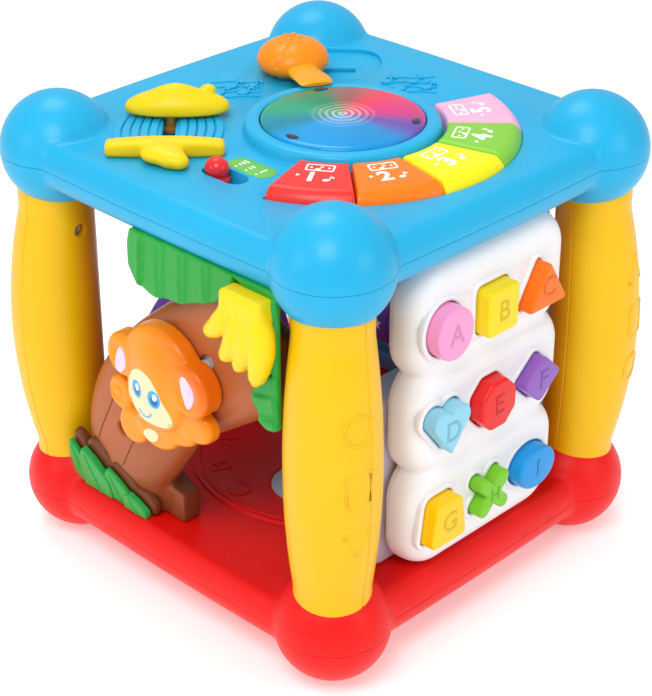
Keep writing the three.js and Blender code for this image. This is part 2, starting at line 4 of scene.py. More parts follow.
import bmesh
import bpy
import numpy as np
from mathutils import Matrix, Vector


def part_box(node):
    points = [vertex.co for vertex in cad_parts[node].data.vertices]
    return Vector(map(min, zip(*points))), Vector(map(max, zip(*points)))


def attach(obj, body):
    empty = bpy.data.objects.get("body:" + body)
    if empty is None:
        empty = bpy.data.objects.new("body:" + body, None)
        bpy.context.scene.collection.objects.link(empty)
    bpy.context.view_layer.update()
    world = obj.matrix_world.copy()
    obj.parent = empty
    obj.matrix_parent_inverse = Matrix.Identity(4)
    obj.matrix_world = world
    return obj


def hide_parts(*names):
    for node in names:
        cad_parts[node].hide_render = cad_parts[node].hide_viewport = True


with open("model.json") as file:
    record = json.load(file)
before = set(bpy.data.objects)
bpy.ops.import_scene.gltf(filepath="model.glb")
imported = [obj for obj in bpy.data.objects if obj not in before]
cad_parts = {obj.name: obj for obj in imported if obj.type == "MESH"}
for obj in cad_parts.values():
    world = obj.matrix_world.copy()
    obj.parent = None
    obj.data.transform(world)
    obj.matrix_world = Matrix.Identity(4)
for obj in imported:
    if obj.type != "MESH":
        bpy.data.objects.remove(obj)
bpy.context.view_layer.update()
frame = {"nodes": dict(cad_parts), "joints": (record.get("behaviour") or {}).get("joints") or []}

# Shapes are worked out in millimetres, with x = 0 on the cube's centre line, and made in metres.
MM = 0.001


def box_mm(node):
    low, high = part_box(node)
    return np.array(low) / MM, np.array(high) / MM


SHELL_GAP = 0.3    # between the two halves of a shell
TRAY_LOW, TRAY_HIGH = box_mm("base_tray")
COVER_LOW, COVER_HIGH = box_mm("top_cover")
MIDDLE = (TRAY_LOW[0] + TRAY_HIGH[0]) / 2
BASE_Z = TRAY_HIGH[2] + SHELL_GAP / 2
TOP_Z = COVER_LOW[2] - SHELL_GAP / 2
BALL_R = COVER_HIGH[2] - TOP_Z
HALF_X = (TRAY_HIGH[0] - TRAY_LOW[0]) / 2 - BALL_R
HALF_Y = (TRAY_HIGH[1] - TRAY_LOW[1]) / 2 - BALL_R
SLAB_T = 15        # half the thickness of the top and base slabs
SLAB_SIDE = 143    # half their width at the corners
SLAB_BOW = 3       # how far their sides bow outwards
SLAB_EDGE = 10     # width of their rounded edge
DECK = TOP_Z + SLAB_T
FLOOR = BASE_Z + SLAB_T
CEILING = TOP_Z - SLAB_T
HUB = (0.0, frame["joints"][0]["pos_m"][1] / MM)
CORNERS = {"front_left": (-1, -1), "front_right": (1, -1), "back_right": (1, 1), "back_left": (-1, 1)}
DIAGONAL = math.sqrt(0.5)
# The CAD is faceted, so its box is a little smaller than the round shapes it stands for.
BALL_TRIM, LEG_TRIM = 0.45, 0.2
SHARP = 38    # edges over this many degrees are shaded sharp
FLAT = 0.4    # faces within this many degrees are merged
UNIT_GRID = 2.3
MATERIALS = {}


# Outlines

def arc(radius, start, end, steps, centre=(0, 0)):
    """Points on an arc, from start to end in degrees."""
    angles = np.radians(np.linspace(start, end, steps + 1))
    return [(centre[0] + radius * math.cos(a), centre[1] + radius * math.sin(a)) for a in angles]


def circle(radius, steps, centre=(0, 0)):
    return arc(radius, 0, 360, steps, centre)[:-1]


def oval(rx, ry, centre=(0, 0), steps=48, tilt=0.0):
    return moved([(rx * x, ry * y) for x, y in circle(1, steps)], *centre, 1.0, tilt)


def round_rect(w, h, r, centre=(0, 0), steps=8):
    spots = [(w - r, h - r, 0), (r - w, h - r, 90), (r - w, r - h, 180), (w - r, r - h, 270)]
    return [p for x, y, a in spots for p in arc(r, a, a + 90, steps, (centre[0] + x, centre[1] + y))]


def bar(a, b, r, steps=8):
    """Round-ended bar from a to b."""
    angle = math.degrees(math.atan2(b[1] - a[1], b[0] - a[0]))
    return arc(r, angle - 90, angle + 90, steps, b) + arc(r, angle + 90, angle + 270, steps, a)


def moved(points, dx, dy, scale=1.0, tilt=0.0):
    c, s = math.cos(math.radians(tilt)), math.sin(math.radians(tilt))
    return [(dx + scale * (c * x - s * y), dy + scale * (s * x + c * y)) for x, y in points]


def rounded(points, r, steps=5):
    """The outline with each corner replaced by a small curve."""
    made = []
    for i, corner in enumerate(points):
        here = np.array(corner, float)
        before, after = np.array(points[i - 1], float), np.array(points[(i + 1) % len(points)], float)
        cut_in = min(r, 0.45 * np.linalg.norm(before - here), 0.45 * np.linalg.norm(after - here))
        a = here + (before - here) / np.linalg.norm(before - here) * cut_in
        b = here + (after - here) / np.linalg.norm(after - here) * cut_in
        for t in np.linspace(0, 1, steps + 1):
            made.append(tuple((1 - t) ** 2 * a + 2 * t * (1 - t) * here + t * t * b))
    return made


def smooth_path(points, steps):
    """Catmull-Rom curve through the points, in any number of dimensions."""
    p = np.array(points, float)
    p = np.vstack([2 * p[0] - p[1], p, 2 * p[-1] - p[-2]])
    made = []
    for value in np.linspace(0, len(points) - 1 - 1e-9, steps):
        k, t = int(value), value % 1
        a, b, c, d = p[k:k + 4]
        made.append(0.5 * (2 * b + (c - a) * t + (2 * a - 5 * b + 4 * c - d) * t * t
                           + (3 * b - a - 3 * c + d) * t ** 3))
    return np.array(made)


# Solids as (points, faces)

def loft(rings):
    """Closed solid through rings of points, with flat ends."""
    rings = np.asarray(rings, float)
    count, n = rings.shape[:2]
    faces = [(k * n + i, k * n + (i + 1) % n, (k + 1) * n + (i + 1) % n, (k + 1) * n + i)
             for k in range(count - 1) for i in range(n)]
    return rings.reshape(-1, 3), faces + [tuple(range(n))[::-1], tuple(range((count - 1) * n, count * n))]


def lathe(profile, centre=(0, 0), steps=96):
    """Solid of revolution round an upright axis, from rows of (radius, height)."""
    ring = np.array(circle(1, steps))
    return loft([np.column_stack([ring * max(r, 1e-4) + centre, np.full(steps, z)]) for r, z in profile])


def curve_solid(curve, low, high, bevel, rounds, bold=0.0):
    """A filled curve made thick from low to high, as (points, faces). The curve is used up."""
    curve.extrude = (high - low) / 2 - bevel
    curve.bevel_depth, curve.bevel_resolution, curve.offset = bevel, rounds, bold - bevel
    holder = bpy.data.objects.new("outline", curve)
    bpy.context.scene.collection.objects.link(holder)
    mesh = bpy.data.meshes.new_from_object(holder.evaluated_get(bpy.context.evaluated_depsgraph_get()))
    work = bmesh.new()
    work.from_mesh(mesh)
    bmesh.ops.remove_doubles(work, verts=work.verts, dist=0.002)
    points = np.array([v.co for v in work.verts]) + (0, 0, (low + high) / 2)
    work.verts.index_update()
    faces = [tuple(v.index for v in face.verts) for face in work.faces]
    work.free()
    bpy.data.objects.remove(holder)
    bpy.data.curves.remove(curve)
    bpy.data.meshes.remove(mesh)
    return points, faces


def plate(outlines, low, high, bevel=0.8, rounds=2):
    """Flat solid with rounded edges. The first outline is its edge, and the others are holes."""
    curve = bpy.data.curves.new("outline", "CURVE")
    curve.dimensions, curve.fill_mode = "2D", "BOTH"
    for outline in outlines:
        spline = curve.splines.new("POLY")
        spline.points.add(len(outline) - 1)
        for point, (x, y) in zip(spline.points, outline):
            point.co = (x, y, 0, 1)
        spline.use_cyclic_u = True
    return curve_solid(curve, low, high, bevel, rounds)


def glyph(text, size, low, high, bevel=0.15, bold=0.0):
    curve = bpy.data.curves.new("glyph", "FONT")
    curve.body, curve.size, curve.resolution_u = text, size, 5
    curve.align_x, curve.align_y = "CENTER", "CENTER"
    return curve_solid(curve, low, high, bevel, 1, bold)


def tube(path, radius, steps=8):
    path = np.asarray(path, float)
    ahead = np.gradient(path, axis=0)
    ahead /= np.linalg.norm(ahead, axis=1)[:, None]
    side = np.cross(ahead, (0.0, 0.0, 1.0))
    side = np.where(np.linalg.norm(side, axis=1)[:, None] < 1e-6, (1.0, 0.0, 0.0), side)
    side /= np.linalg.norm(side, axis=1)[:, None]
    up = np.cross(side, ahead)
    ring = np.array(circle(1, steps))
    return loft([p + radius * (ring[:, :1] * s + ring[:, 1:] * u) for p, s, u in zip(path, side, up)])


def together(*solids):
    points, faces, start = [], [], 0
    for part_points, part_faces in solids:
        points.append(np.asarray(part_points, float))
        faces += [tuple(i + start for i in face) for face in part_faces]
        start += len(part_points)
    return np.vstack(points), faces


def on_side(solid, quarter, out=0.0):
    """Local x right, y up and z out of a side: 0 is -Y, -1 is -X, 1 is +X and 2 is +Y."""
    x, y, z = np.asarray(solid[0], float).T
    z = z + out
    placed = {0: (x, -z, y), -1: (-z, -x, y), 1: (z, x, y), 2: (-x, z, y)}[quarter]
    return np.stack(placed, -1), solid[1]


def from_side(node, quarter):
    """A node's box in the local frame of a side: lowest and highest (x, y, z out)."""
    low, high = box_mm(node)
    corners = np.array([low, high]) - (MIDDLE, 0, 0)
    x, y, z = corners.T
    local = {0: (x, z, -y), -1: (-y, z, -x), 1: (y, z, x), 2: (-x, z, y)}[quarter]
    local = np.stack(local, -1)
    return local.min(0), local.max(0)


# Solids from fields: a field is negative inside

def smooth_min(a, b, k):
    h = np.clip(0.5 + 0.5 * (b - a) / k, 0, 1)
    return b * (1 - h) + a * h - k * h * (1 - h)


def smooth_max(a, b, k):
    return -smooth_min(-a, -b, k)


def bump(p, centre, radii):
    """Ellipsoid."""
    radii = np.array(radii, float)
    return (np.linalg.norm((p - centre) / radii, axis=-1) - 1) * radii.min()


def puck(p, centre, rx, ry, deep, edge):
    """Upright oval button from z = 0 to deep, with a rounded edge."""
    flat = (np.hypot((p[..., 0] - centre[0]) / rx, (p[..., 1] - centre[1]) / ry) - 1) * min(rx, ry) + edge
    tall = np.abs(p[..., 2]) - deep + edge
    return np.minimum(np.maximum(flat, tall), 0) + np.hypot(np.maximum(flat, 0), np.maximum(tall, 0)) - edge


def share_along(p, a, b):
    """How far from a to b the point nearest to p lies, from 0 to 1."""
    return np.clip(((p - a) @ (b - a)) / ((b - a) @ (b - a)), 0, 1)


def chain(p, centres, radii):
    """Round-ended tube through the centres, its radius changing from one to the next."""
    best = None
    for a, b, ra, rb in zip(centres[:-1], centres[1:], radii[:-1], radii[1:]):
        a, b = np.array(a, float), np.array(b, float)
        t = share_along(p, a, b)
        d = np.linalg.norm(p - a - t[..., None] * (b - a), axis=-1) - (ra + (rb - ra) * t)
        best = d if best is None else np.minimum(best, d)
    return best


def outline_distance(x, y, outline):
    """Signed distance in the plane to a closed outline, negative inside."""
    points = np.array(outline, float)
    best = np.full(x.shape, 1e9)
    inside = np.zeros(x.shape, bool)
    for (ax, ay), (bx, by) in zip(points, np.roll(points, -1, 0)):
        ex, ey = bx - ax, by - ay
        t = np.clip(((x - ax) * ex + (y - ay) * ey) / (ex * ex + ey * ey), 0, 1)
        best = np.minimum(best, np.hypot(x - ax - t * ex, y - ay - t * ey))
        if ey != 0:
            inside ^= ((ay > y) != (by > y)) & (x < ex * (y - ay) / ey + ax)
    return np.where(inside, -best, best)


def field_solid(field, low, high, step):
    """Closed surface where the field is zero, as quads on a grid, pulled onto the surface."""
    low, high = np.array(low, float), np.array(high, float)
    counts = np.ceil((high - low) / step).astype(int) + 1
    axes = [low[a] + step * np.arange(counts[a] + 1) for a in range(3)]
    values = field(np.stack(np.meshgrid(*axes, indexing="ij"), -1))
    inside = values < 0
    corner = [(i, j, k) for i in (0, 1) for j in (0, 1) for k in (0, 1)]
    shape = np.array(values.shape) - 1

    def shifted(grid, c):
        return grid[c[0]:c[0] + shape[0], c[1]:c[1] + shape[1], c[2]:c[2] + shape[2]]

    total = sum(shifted(inside, c).astype(np.int8) for c in corner)
    cells = np.argwhere((total > 0) & (total < 8))
    at = {c: values[tuple((cells + c).T)] for c in corner}
    spot, hits = np.zeros((len(cells), 3)), np.zeros(len(cells))
    for a in corner:
        for axis in range(3):
            if a[axis]:
                continue
            b = tuple(v + (axis == i) for i, v in enumerate(a))
            crosses = (at[a] < 0) != (at[b] < 0)
            gap = np.where(crosses, at[a] - at[b], 1)
            move = np.zeros((len(cells), 3)) + a
            move[:, axis] += at[a] / gap
            spot += np.where(crosses[:, None], move, 0)
            hits += crosses
    points = low + step * (cells + spot / hits[:, None])
    number = np.full(tuple(shape), -1)
    number[tuple(cells.T)] = np.arange(len(cells))
    faces = []
    for axis in range(3):
        u, v = (axis + 1) % 3, (axis + 2) % 3
        first = [slice(None)] * 3
        second = [slice(None)] * 3
        first[axis], second[axis] = slice(0, -1), slice(1, None)
        edges = np.argwhere(inside[tuple(first)] != inside[tuple(second)])
        edges = edges[(edges[:, u] > 0) & (edges[:, v] > 0) & (edges[:, u] < shape[u]) & (edges[:, v] < shape[v])]
        quad = []
        for du, dv in ((1, 1), (0, 1), (0, 0), (1, 0)):
            cell = edges.copy()
            cell[:, u] -= du
            cell[:, v] -= dv
            quad.append(number[tuple(cell.T)])
        quad = np.stack(quad, -1)
        flip = ~inside[tuple(edges.T)]
        quad[flip] = quad[flip][:, ::-1]
        faces.append(quad)
    small = 0.02 * step
    for _ in range(3):
        slope = np.stack([(field(points + small * e) - field(points - small * e)) / (2 * small)
                          for e in np.eye(3)], -1)
        move = (field(points) / np.maximum((slope ** 2).sum(-1), 1e-4))[:, None] * slope
        length = np.linalg.norm(move, axis=1)
        points = points - move * np.minimum(1, 0.5 * step / np.maximum(length, 1e-9))[:, None]
    return points, [tuple(face) for face in np.vstack(faces).tolist()]


def surface_height(field, x, y, high, low=0.0):
    """The z at which the field is zero above each (x, y), searched from high down to low."""
    x, y = np.broadcast_arrays(np.asarray(x, float), np.asarray(y, float))
    top, bottom = np.full(x.shape, float(high)), np.full(x.shape, float(low))
    for _ in range(24):
        middle = (top + bottom) / 2
        outside = field(np.stack([x, y, middle], -1)) > 0
        top, bottom = np.where(outside, middle, top), np.where(outside, bottom, middle)
    return (top + bottom) / 2


def decal(outline, field, high, lift=0.12, rings=7, low=0.0):
    """Thin skin for print and painted highlights that follows a curved surface, for an outline seen whole from its
    middle.
    """
    edge = np.array(outline, float)
    middle = edge.mean(0)
    layers = []
    for share in np.linspace(1, 0.02, rings):
        flat = middle + (edge - middle) * share
        z = surface_height(field, flat[:, 0], flat[:, 1], high, low)
        layers.append(np.column_stack([flat, z + lift]))
    skirt = layers[0] - (0, 0, lift + 0.5)
    floor = np.column_stack([middle + (edge - middle) * 0.5, skirt[:, 2] - 0.3])
    return loft([floor, skirt] + layers)


# Objects

def put(name, data):
    made = bpy.data.objects.new(name, data)
    bpy.context.scene.collection.objects.link(made)
    return made


def shade(mesh, angle):
    mesh.polygons.foreach_set("use_smooth", np.ones(len(mesh.polygons), bool))
    mesh.set_sharp_from_angle(angle=math.radians(angle))


def make(name, solid, angle=SHARP):
    points, faces = solid
    mesh = bpy.data.meshes.new(name)
    mesh.from_pydata(((np.asarray(points, float) + (MIDDLE, 0, 0)) * MM).tolist(), [], faces)
    work = bmesh.new()
    work.from_mesh(mesh)
    bmesh.ops.remove_doubles(work, verts=work.verts, dist=2e-6)
    bmesh.ops.dissolve_degenerate(work, edges=work.edges, dist=1e-7)
    bmesh.ops.recalc_face_normals(work, faces=work.faces)
    work.to_mesh(mesh)
    work.free()
    shade(mesh, angle)
    return put(name, mesh)


def applied(made, angle=SHARP):
    """The object's mesh with its modifiers worked in."""
    bpy.context.view_layer.update()
    mesh = bpy.data.meshes.new_from_object(made.evaluated_get(bpy.context.evaluated_depsgraph_get()))
    made.modifiers.clear()
    made.data = mesh
    shade(mesh, angle)
    return made


def cut_away(made, *solids):
    """The object with the solids taken out of it."""
    for i, solid in enumerate(solids):
        tool = make(f"cutter_{i}", solid)
        step = made.modifiers.new("cut", "BOOLEAN")
        step.operation, step.solver, step.object = "DIFFERENCE", "EXACT", tool
        applied(made)
        bpy.data.objects.remove(tool)
    return made


def soften(made, width, steps=2, angle=50, shading=SHARP):
    """The object with its edges sharper than the angle rounded off."""
    step = made.modifiers.new("edge", "BEVEL")
    step.width, step.segments, step.limit_method = width * MM, steps, "ANGLE"
    step.angle_limit = math.radians(angle)
    step.use_clamp_overlap = True
    return applied(made, shading)


def halved(solid, point, normal, names):
    """A closed solid parted by a plane into two closed pieces, flats merged into single faces."""
    pieces = []
    for name, sign in zip(names, (1, -1)):
        made = make(name, solid)
        work = bmesh.new()
        work.from_mesh(made.data)
        where = (Vector(point) + Vector((MIDDLE, 0, 0)) + Vector(normal) * sign * SHELL_GAP / 2) * MM
        cut = bmesh.ops.bisect_plane(work, geom=work.verts[:] + work.edges[:] + work.faces[:], dist=1e-7,
                                     plane_co=where, plane_no=Vector(normal) * sign, clear_inner=True)
        rim = [e for e in cut["geom_cut"] if isinstance(e, bmesh.types.BMEdge)]
        bmesh.ops.contextual_create(work, geom=rim)
        bmesh.ops.dissolve_limit(work, angle_limit=math.radians(FLAT), verts=work.verts[:], edges=work.edges[:])
        bmesh.ops.recalc_face_normals(work, faces=work.faces)
        work.to_mesh(made.data)
        work.free()
        shade(made.data, SHARP)
        pieces.append(made)
    return pieces


# Materials

def added(tree, kind, inputs, **settings):
    """A new node. Each input is a value, or the socket that feeds it."""
    node = tree.nodes.new(kind)
    for key, value in settings.items():
        setattr(node, key, value)
    set_inputs(tree, node, inputs)
    return node


def set_inputs(tree, node, inputs):
    for key, value in inputs.items():
        if isinstance(value, bpy.types.NodeSocket):
            tree.links.new(value, node.inputs[key])
        else:
            node.inputs[key].default_value = value


def plastic(name, colour, rough=0.3, coat=0.15, vary=0.05, grain=0.03, second=None, soft=0.0):
    """Moulded plastic: two close tones in broad clouds, fine orange peel, and roughness that wanders.
    second = (colour, direction, start, end) blends to another colour along a direction, in millimetres."""
    if name in MATERIALS:
        return MATERIALS[name]
    made = bpy.data.materials.new(name)
    made.use_nodes = True
    tree = made.node_tree
    place = added(tree, "ShaderNodeTexCoord", {}).outputs["Object"]

    def noise(scale, detail):
        return added(tree, "ShaderNodeTexNoise", {"Scale": scale, "Detail": detail, "Vector": place}).outputs["Fac"]

    def mixed(fac, a, b):
        return added(tree, "ShaderNodeMix", {"Factor": fac, "A": a, "B": b}, data_type="RGBA").outputs["Result"]

    def tones(rgb):
        base = linear(rgb)
        return mixed(noise(22, 2), (*[c * (1 - vary) for c in base], 1),
                     (*[min(1, c * (1 + vary)) for c in base], 1))

    result = tones(colour)
    if second:
        other, direction, start, end = second
        dot = added(tree, "ShaderNodeVectorMath", {0: place, 1: direction}, operation="DOT_PRODUCT")
        reach = added(tree, "ShaderNodeMapRange", {"From Min": start * MM, "From Max": end * MM,
                                                   "Value": dot.outputs["Value"]}, interpolation_type="SMOOTHSTEP")
        result = mixed(reach.outputs["Result"], result, tones(other))
    finish = added(tree, "ShaderNodeMapRange", {"To Min": rough - 0.05, "To Max": rough + 0.07,
                                                "Value": noise(60, 3)})
    relief = added(tree, "ShaderNodeBump", {"Strength": grain, "Distance": 0.0004, "Height": noise(700, 2)})
    shader = tree.nodes["Principled BSDF"]
    set_inputs(tree, shader, {"Base Color": result, "Roughness": finish.outputs["Result"],
                              "Normal": relief.outputs["Normal"], "IOR": 1.5, "Specular IOR Level": 0.26,
                              "Coat Weight": coat, "Coat Roughness": 0.12})
    if soft:
        set_inputs(tree, shader, {"Subsurface Weight": soft, "Subsurface Scale": 0.004,
                                  "Subsurface Radius": (1.0, 0.6, 0.4)})
    MATERIALS[name] = made
    return made


def linear(rgb):
    return [(c / 255 / 12.92) if c <= 10 else (((c / 255) + 0.055) / 1.055) ** 2.4 for c in rgb]


def piece(made, material, body="frame", nodes=()):
    """Gives an object its material and the body that it rides on, and hides the CAD nodes it stands for."""
    made.data.materials.clear()
    made.data.materials.append(material)
    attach(made, body)
    if nodes:
        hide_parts(*nodes)
    return made


BLUE = plastic("blue_plastic", (28, 170, 218), rough=0.36, coat=0.06)
RED = plastic("red_plastic", (232, 16, 12), rough=0.42, coat=0.0)
WHITE = plastic("white_plastic", (238, 238, 241), rough=0.38, coat=0.08, vary=0.015, soft=0.1)
# White print; the monkey's eye glints use it too, as painted highlights.
PRINT_AND_GLINT = plastic("white_print_and_glint", (252, 250, 244), rough=0.5, coat=0.0, vary=0.02, grain=0.06)
DARK = plastic("slot_dark", (14, 16, 24), rough=0.7, coat=0.0, grain=0.1)
CARRIER = plastic("carrier_white", (226, 226, 228), rough=0.45, coat=0.0, vary=0.03)
BOARD = plastic("board_green", (38, 110, 68), rough=0.5, coat=0.2, vary=0.12)
STEEL = plastic("screw_steel", (176, 179, 184), rough=0.32, coat=0.0, vary=0.08, grain=0.12)
STEEL.node_tree.nodes["Principled BSDF"].inputs["Metallic"].default_value = 1.0


# Camera, lights and floor

CAMERA_AT = (-0.7768 + MIDDLE * MM, -0.7603, 0.7399)
CAMERA_TURN, CAMERA_RISE = -45.652, 29.192
CAMERA_LENS = 98.09


def studio():
    eye = bpy.data.cameras.new("camera")
    eye.lens, eye.sensor_width = CAMERA_LENS, 36
    eye.clip_start, eye.clip_end = 0.05, 20
    camera = put("camera", eye)
    camera.location = CAMERA_AT
    camera.rotation_euler = (math.radians(90 - CAMERA_RISE), 0, math.radians(CAMERA_TURN))
    bpy.context.scene.camera = camera
    world = bpy.data.worlds.new("studio")
    world.use_nodes = True
    set_inputs(world.node_tree, world.node_tree.nodes["Background"], {"Color": (1, 1, 1, 1), "Strength": 0.6})
    bpy.context.scene.world = world
    lamps = [("key", (-0.9, -0.5, 1.5), 0.8, 12), ("fill", (0.3, -1.5, 0.8), 0.8, 4),
             ("side", (-1.5, 0.5, 0.8), 0.8, 3.5), ("top", (0.2, 0.6, 1.6), 0.8, 7)]
    for name, place, size, power in lamps:
        light = bpy.data.lights.new(name, "AREA")
        light.shape, light.size, light.energy = "DISK", size, power
        lamp = put(name, light)
        lamp.location = place
        aim = Vector((0, 0, 0.15)) - Vector(place)
        lamp.rotation_euler = aim.to_track_quat("-Z", "Y").to_euler()
    mesh = bpy.data.meshes.new("floor")
    reach = 4.0
    mesh.from_pydata([(-reach, -reach, 0), (reach, -reach, 0), (reach, reach, 0), (-reach, reach, 0)], [],
                     [(0, 1, 2, 3)])
    ground = put("floor", mesh)
    pale = plastic("floor_pale", (250, 250, 250), rough=0.7, coat=0, vary=0.002, grain=0)
    set_inputs(pale.node_tree, pale.node_tree.nodes["Principled BSDF"],
               {"Emission Color": (1, 1, 1, 1), "Emission Strength": 0.26})
    ground.data.materials.append(pale)
    ground.location.z = -0.0003
    bpy.context.scene.view_settings.view_transform = "Standard"


# Top and base units

def unit_field(middle):
    """Slab with bowed, rounded sides and a ball at each corner."""
    def field(p):
        x, y, z = np.abs(p[..., 0]), np.abs(p[..., 1]), p[..., 2] - middle
        side = smooth_max(x - SLAB_SIDE - SLAB_BOW * (1 - (y / SLAB_SIDE) ** 2),
                          y - SLAB_SIDE - SLAB_BOW * (1 - (x / SLAB_SIDE) ** 2), 8)
        past = np.maximum(side + SLAB_EDGE, 0) / SLAB_EDGE
        slab = 11 * (np.hypot(past, z / SLAB_T) - 1)
        ball = np.sqrt((x - HALF_X) ** 2 + (y - HALF_Y) ** 2 + z * z) - BALL_R + BALL_TRIM
        return smooth_min(slab, ball, 2.2)
    return field


def unit(middle, names):
    """The slab and its balls, parted at mid height into an upper and a lower shell."""
    reach = SLAB_SIDE + 22
    solid = field_solid(unit_field(middle), (-reach, -reach, middle - BALL_R - 4.2),
                        (reach, reach, middle + BALL_R + 4), UNIT_GRID)
    return halved(solid, (0, 0, middle), (0, 0, 1), names)


def polar(r, a):
    return HUB[0] + r * math.cos(math.radians(a)), HUB[1] + r * math.sin(math.radians(a))


def sector(r0, r1, a0, a1, steps=24, centre=HUB):
    return arc(r1, a0, a1, steps, centre) + arc(r0, a1, a0, steps, centre)


# Keys, lever and staves are placed round the spinner's centre by radius and angle.
KEY_IN, KEY_OUT, KEY_START, KEY_STEP = 63, 109, 199.5, 28.4
KEY_TOP = box_mm("key_red")[1][2]
LEVER_R, LEVER_AT = 104, 62.3
MIC_R = 23.6
PAIR = (-99, 36)
VOLUME = (-95, -12)


def along(s, w=0.0):
    """Point on the cymbals' axis: s along it, w across."""
    return PAIR[0] + (s + w) * DIAGONAL, PAIR[1] + (s - w) * DIAGONAL


def crescent():
    """Outline of the shallow recess in which the lever swings."""
    outer, inner = [], []
    for a in np.linspace(31, 71, 41):
        end = abs((a - 51) / 20) ** 7
        outer.append(polar(143 - 26 * end, a))
        inner.append(polar(88 + 16 * end, a))
    return rounded(outer + inner[::-1], 2)


def top_unit():
    cover, tray = unit(TOP_Z, ("top_cover_shell", "top_tray_shell"))
    fan = sector(KEY_IN - 0.5, KEY_OUT + 0.5, KEY_START - 0.35, KEY_START + 5 * KEY_STEP + 0.35, 60)
    recess = crescent()
    slot = sector(LEVER_R + 1.2, LEVER_R + 8.8, 39.5, 69, 24)
    knob_slot = bar((VOLUME[0], VOLUME[1] - 9), (VOLUME[0], VOLUME[1] + 9), 7.6)
    soften(cut_away(cover,
                    plate([fan], DECK - 9, DECK + 9, 0.01, 0),
                    plate([recess], DECK - 2.4, DECK + 9, 0.01, 0),
                    plate([rounded(slot, 3.5)], DECK - 9, DECK + 5, 0.01, 0),
                    plate([bar(along(23), along(62), 4.2)], DECK - 9, DECK + 9, 0.01, 0),
                    plate([knob_slot], DECK - 8.5, DECK + 9, 0.01, 0)), 0.8)
    piece(cover, BLUE, nodes=["top_cover"])
    piece(soften(tray, 0.5), BLUE, nodes=["top_tray"])
    rim = [(50.9, DECK - 4), (51.2, DECK + 7.2), (51.8, DECK + 8.4), (53.2, DECK + 9), (56.4, DECK + 8.9),
           (58.6, DECK + 8.2), (60, DECK + 6.6), (61, DECK + 3.4), (61.6, DECK + 1), (62.3, DECK + 0.2),
           (62.4, DECK - 4)]
    ring = np.array(circle(1, 128))
    layers = [np.column_stack([ring * r + HUB, np.full(128, z)]) for r, z in smooth_path(rim, 3 * len(rim) - 2)]
    points, faces = loft(layers + [layers[0]])
    piece(make("spinner_ring", (points, faces[:-2]), 50), BLUE)


def base_unit():
    cover, tray = unit(BASE_Z, ("base_cover_shell", "base_tray_shell"))
    piece(soften(cover, 0.5), RED, nodes=["base_cover"])
    piece(soften(tray, 0.5), RED, nodes=["base_tray"])
    plateau = lathe([(90, FLOOR - 1), (90, FLOOR + 0.4), (89.3, FLOOR + 1.5), (88, FLOOR + 1.9), (0, FLOOR + 2)],
                    steps=128)
    piece(make("floor_plateau", plateau), RED)
    ridge = [plate([sector(84, 86.4, a, a + 100, 40, (0, 0))], FLOOR + 1.6, FLOOR + 3.1, 0.7)
             for a in (-10, 110, 230)]
    piece(make("floor_ridges", together(*ridge)), RED)
    low, high = box_mm("floor_cap")
    x, y = (low[0] + high[0]) / 2 - MIDDLE, (low[1] + high[1]) / 2
    cap = lathe([(23.9, FLOOR + 1.8), (23.7, FLOOR + 2.6), (22.4, FLOOR + 3.3), (14, FLOOR + 3.6),
                 (0, FLOOR + 3.7)], (x, y), 72)
    piece(make("floor_cap_disc", cap), plastic("cap_grey", (202, 198, 206), rough=0.4, vary=0.02),
          nodes=["floor_cap"])
    rim = plate([circle(26, 72, (x, y)), arc(24.3, 360, 0, 72, (x, y))[:-1]], FLOOR + 1.5,
                FLOOR + 2.9, 0.6)
    marks = [("B", -62, 36, 150), ("A", -38, 56, 120), ("C", -72, 6, 180), ("D", 30, 52, 60), ("E", 58, 20, 20)]
    raised = [turned(glyph(text, 22, FLOOR + 1.8, FLOOR + 2.9, 0.3), x0, y0, tilt - 90)
              for text, x0, y0, tilt in marks]
    bars = [plate([bar((-70, -32), (-58, -46), 1.5)], FLOOR + 1.6, FLOOR + 2.9, 0.5),
            plate([circle(3, 20, (-54, -58))], FLOOR + 1.6, FLOOR + 2.9, 0.6)]
    piece(make("floor_emboss", together(rim, *raised, *bars)), RED)


def turned(solid, x, y, tilt):
    points = np.array(solid[0], float)
    c, s = math.cos(math.radians(tilt)), math.sin(math.radians(tilt))
    flat = points[:, :2] @ np.array([[c, s], [-s, c]])
    return np.column_stack([flat + (x, y), points[:, 2]]), solid[1]


# Legs

# A leg is widest at LEG_MID, where its axis bows out by LEG_BOW, and it narrows by up to LEG_END at its ends.
LEG_MID, LEG_R, LEG_BOW, LEG_CURVE, LEG_END = 152, 29.2, 9.2, 7.5e-4, 5.3
SCREW_Z, SCREW_HOLE = 226, 4.4
SEAM_ANGLES, SEAM_DEPTH = (48, -132), 0.55


def leg_bow(z):
    return np.minimum(LEG_END, LEG_CURVE * (z - LEG_MID) ** 2)


def leg_axis(z, sx, sy):
    shift = (LEG_BOW - leg_bow(z)) * DIAGONAL
    return sx * (HALF_X + shift), sy * (HALF_Y + shift)


def leg_point(angle, z, sx, sy, lift=0.0):
    """Point on a leg's skin, or lifted off it."""
    x, y = leg_axis(z, sx, sy)
    r = LEG_R - LEG_TRIM - leg_bow(z) + lift
    return np.stack([x + r * np.cos(angle), y + r * np.sin(angle), z + 0 * angle], -1)


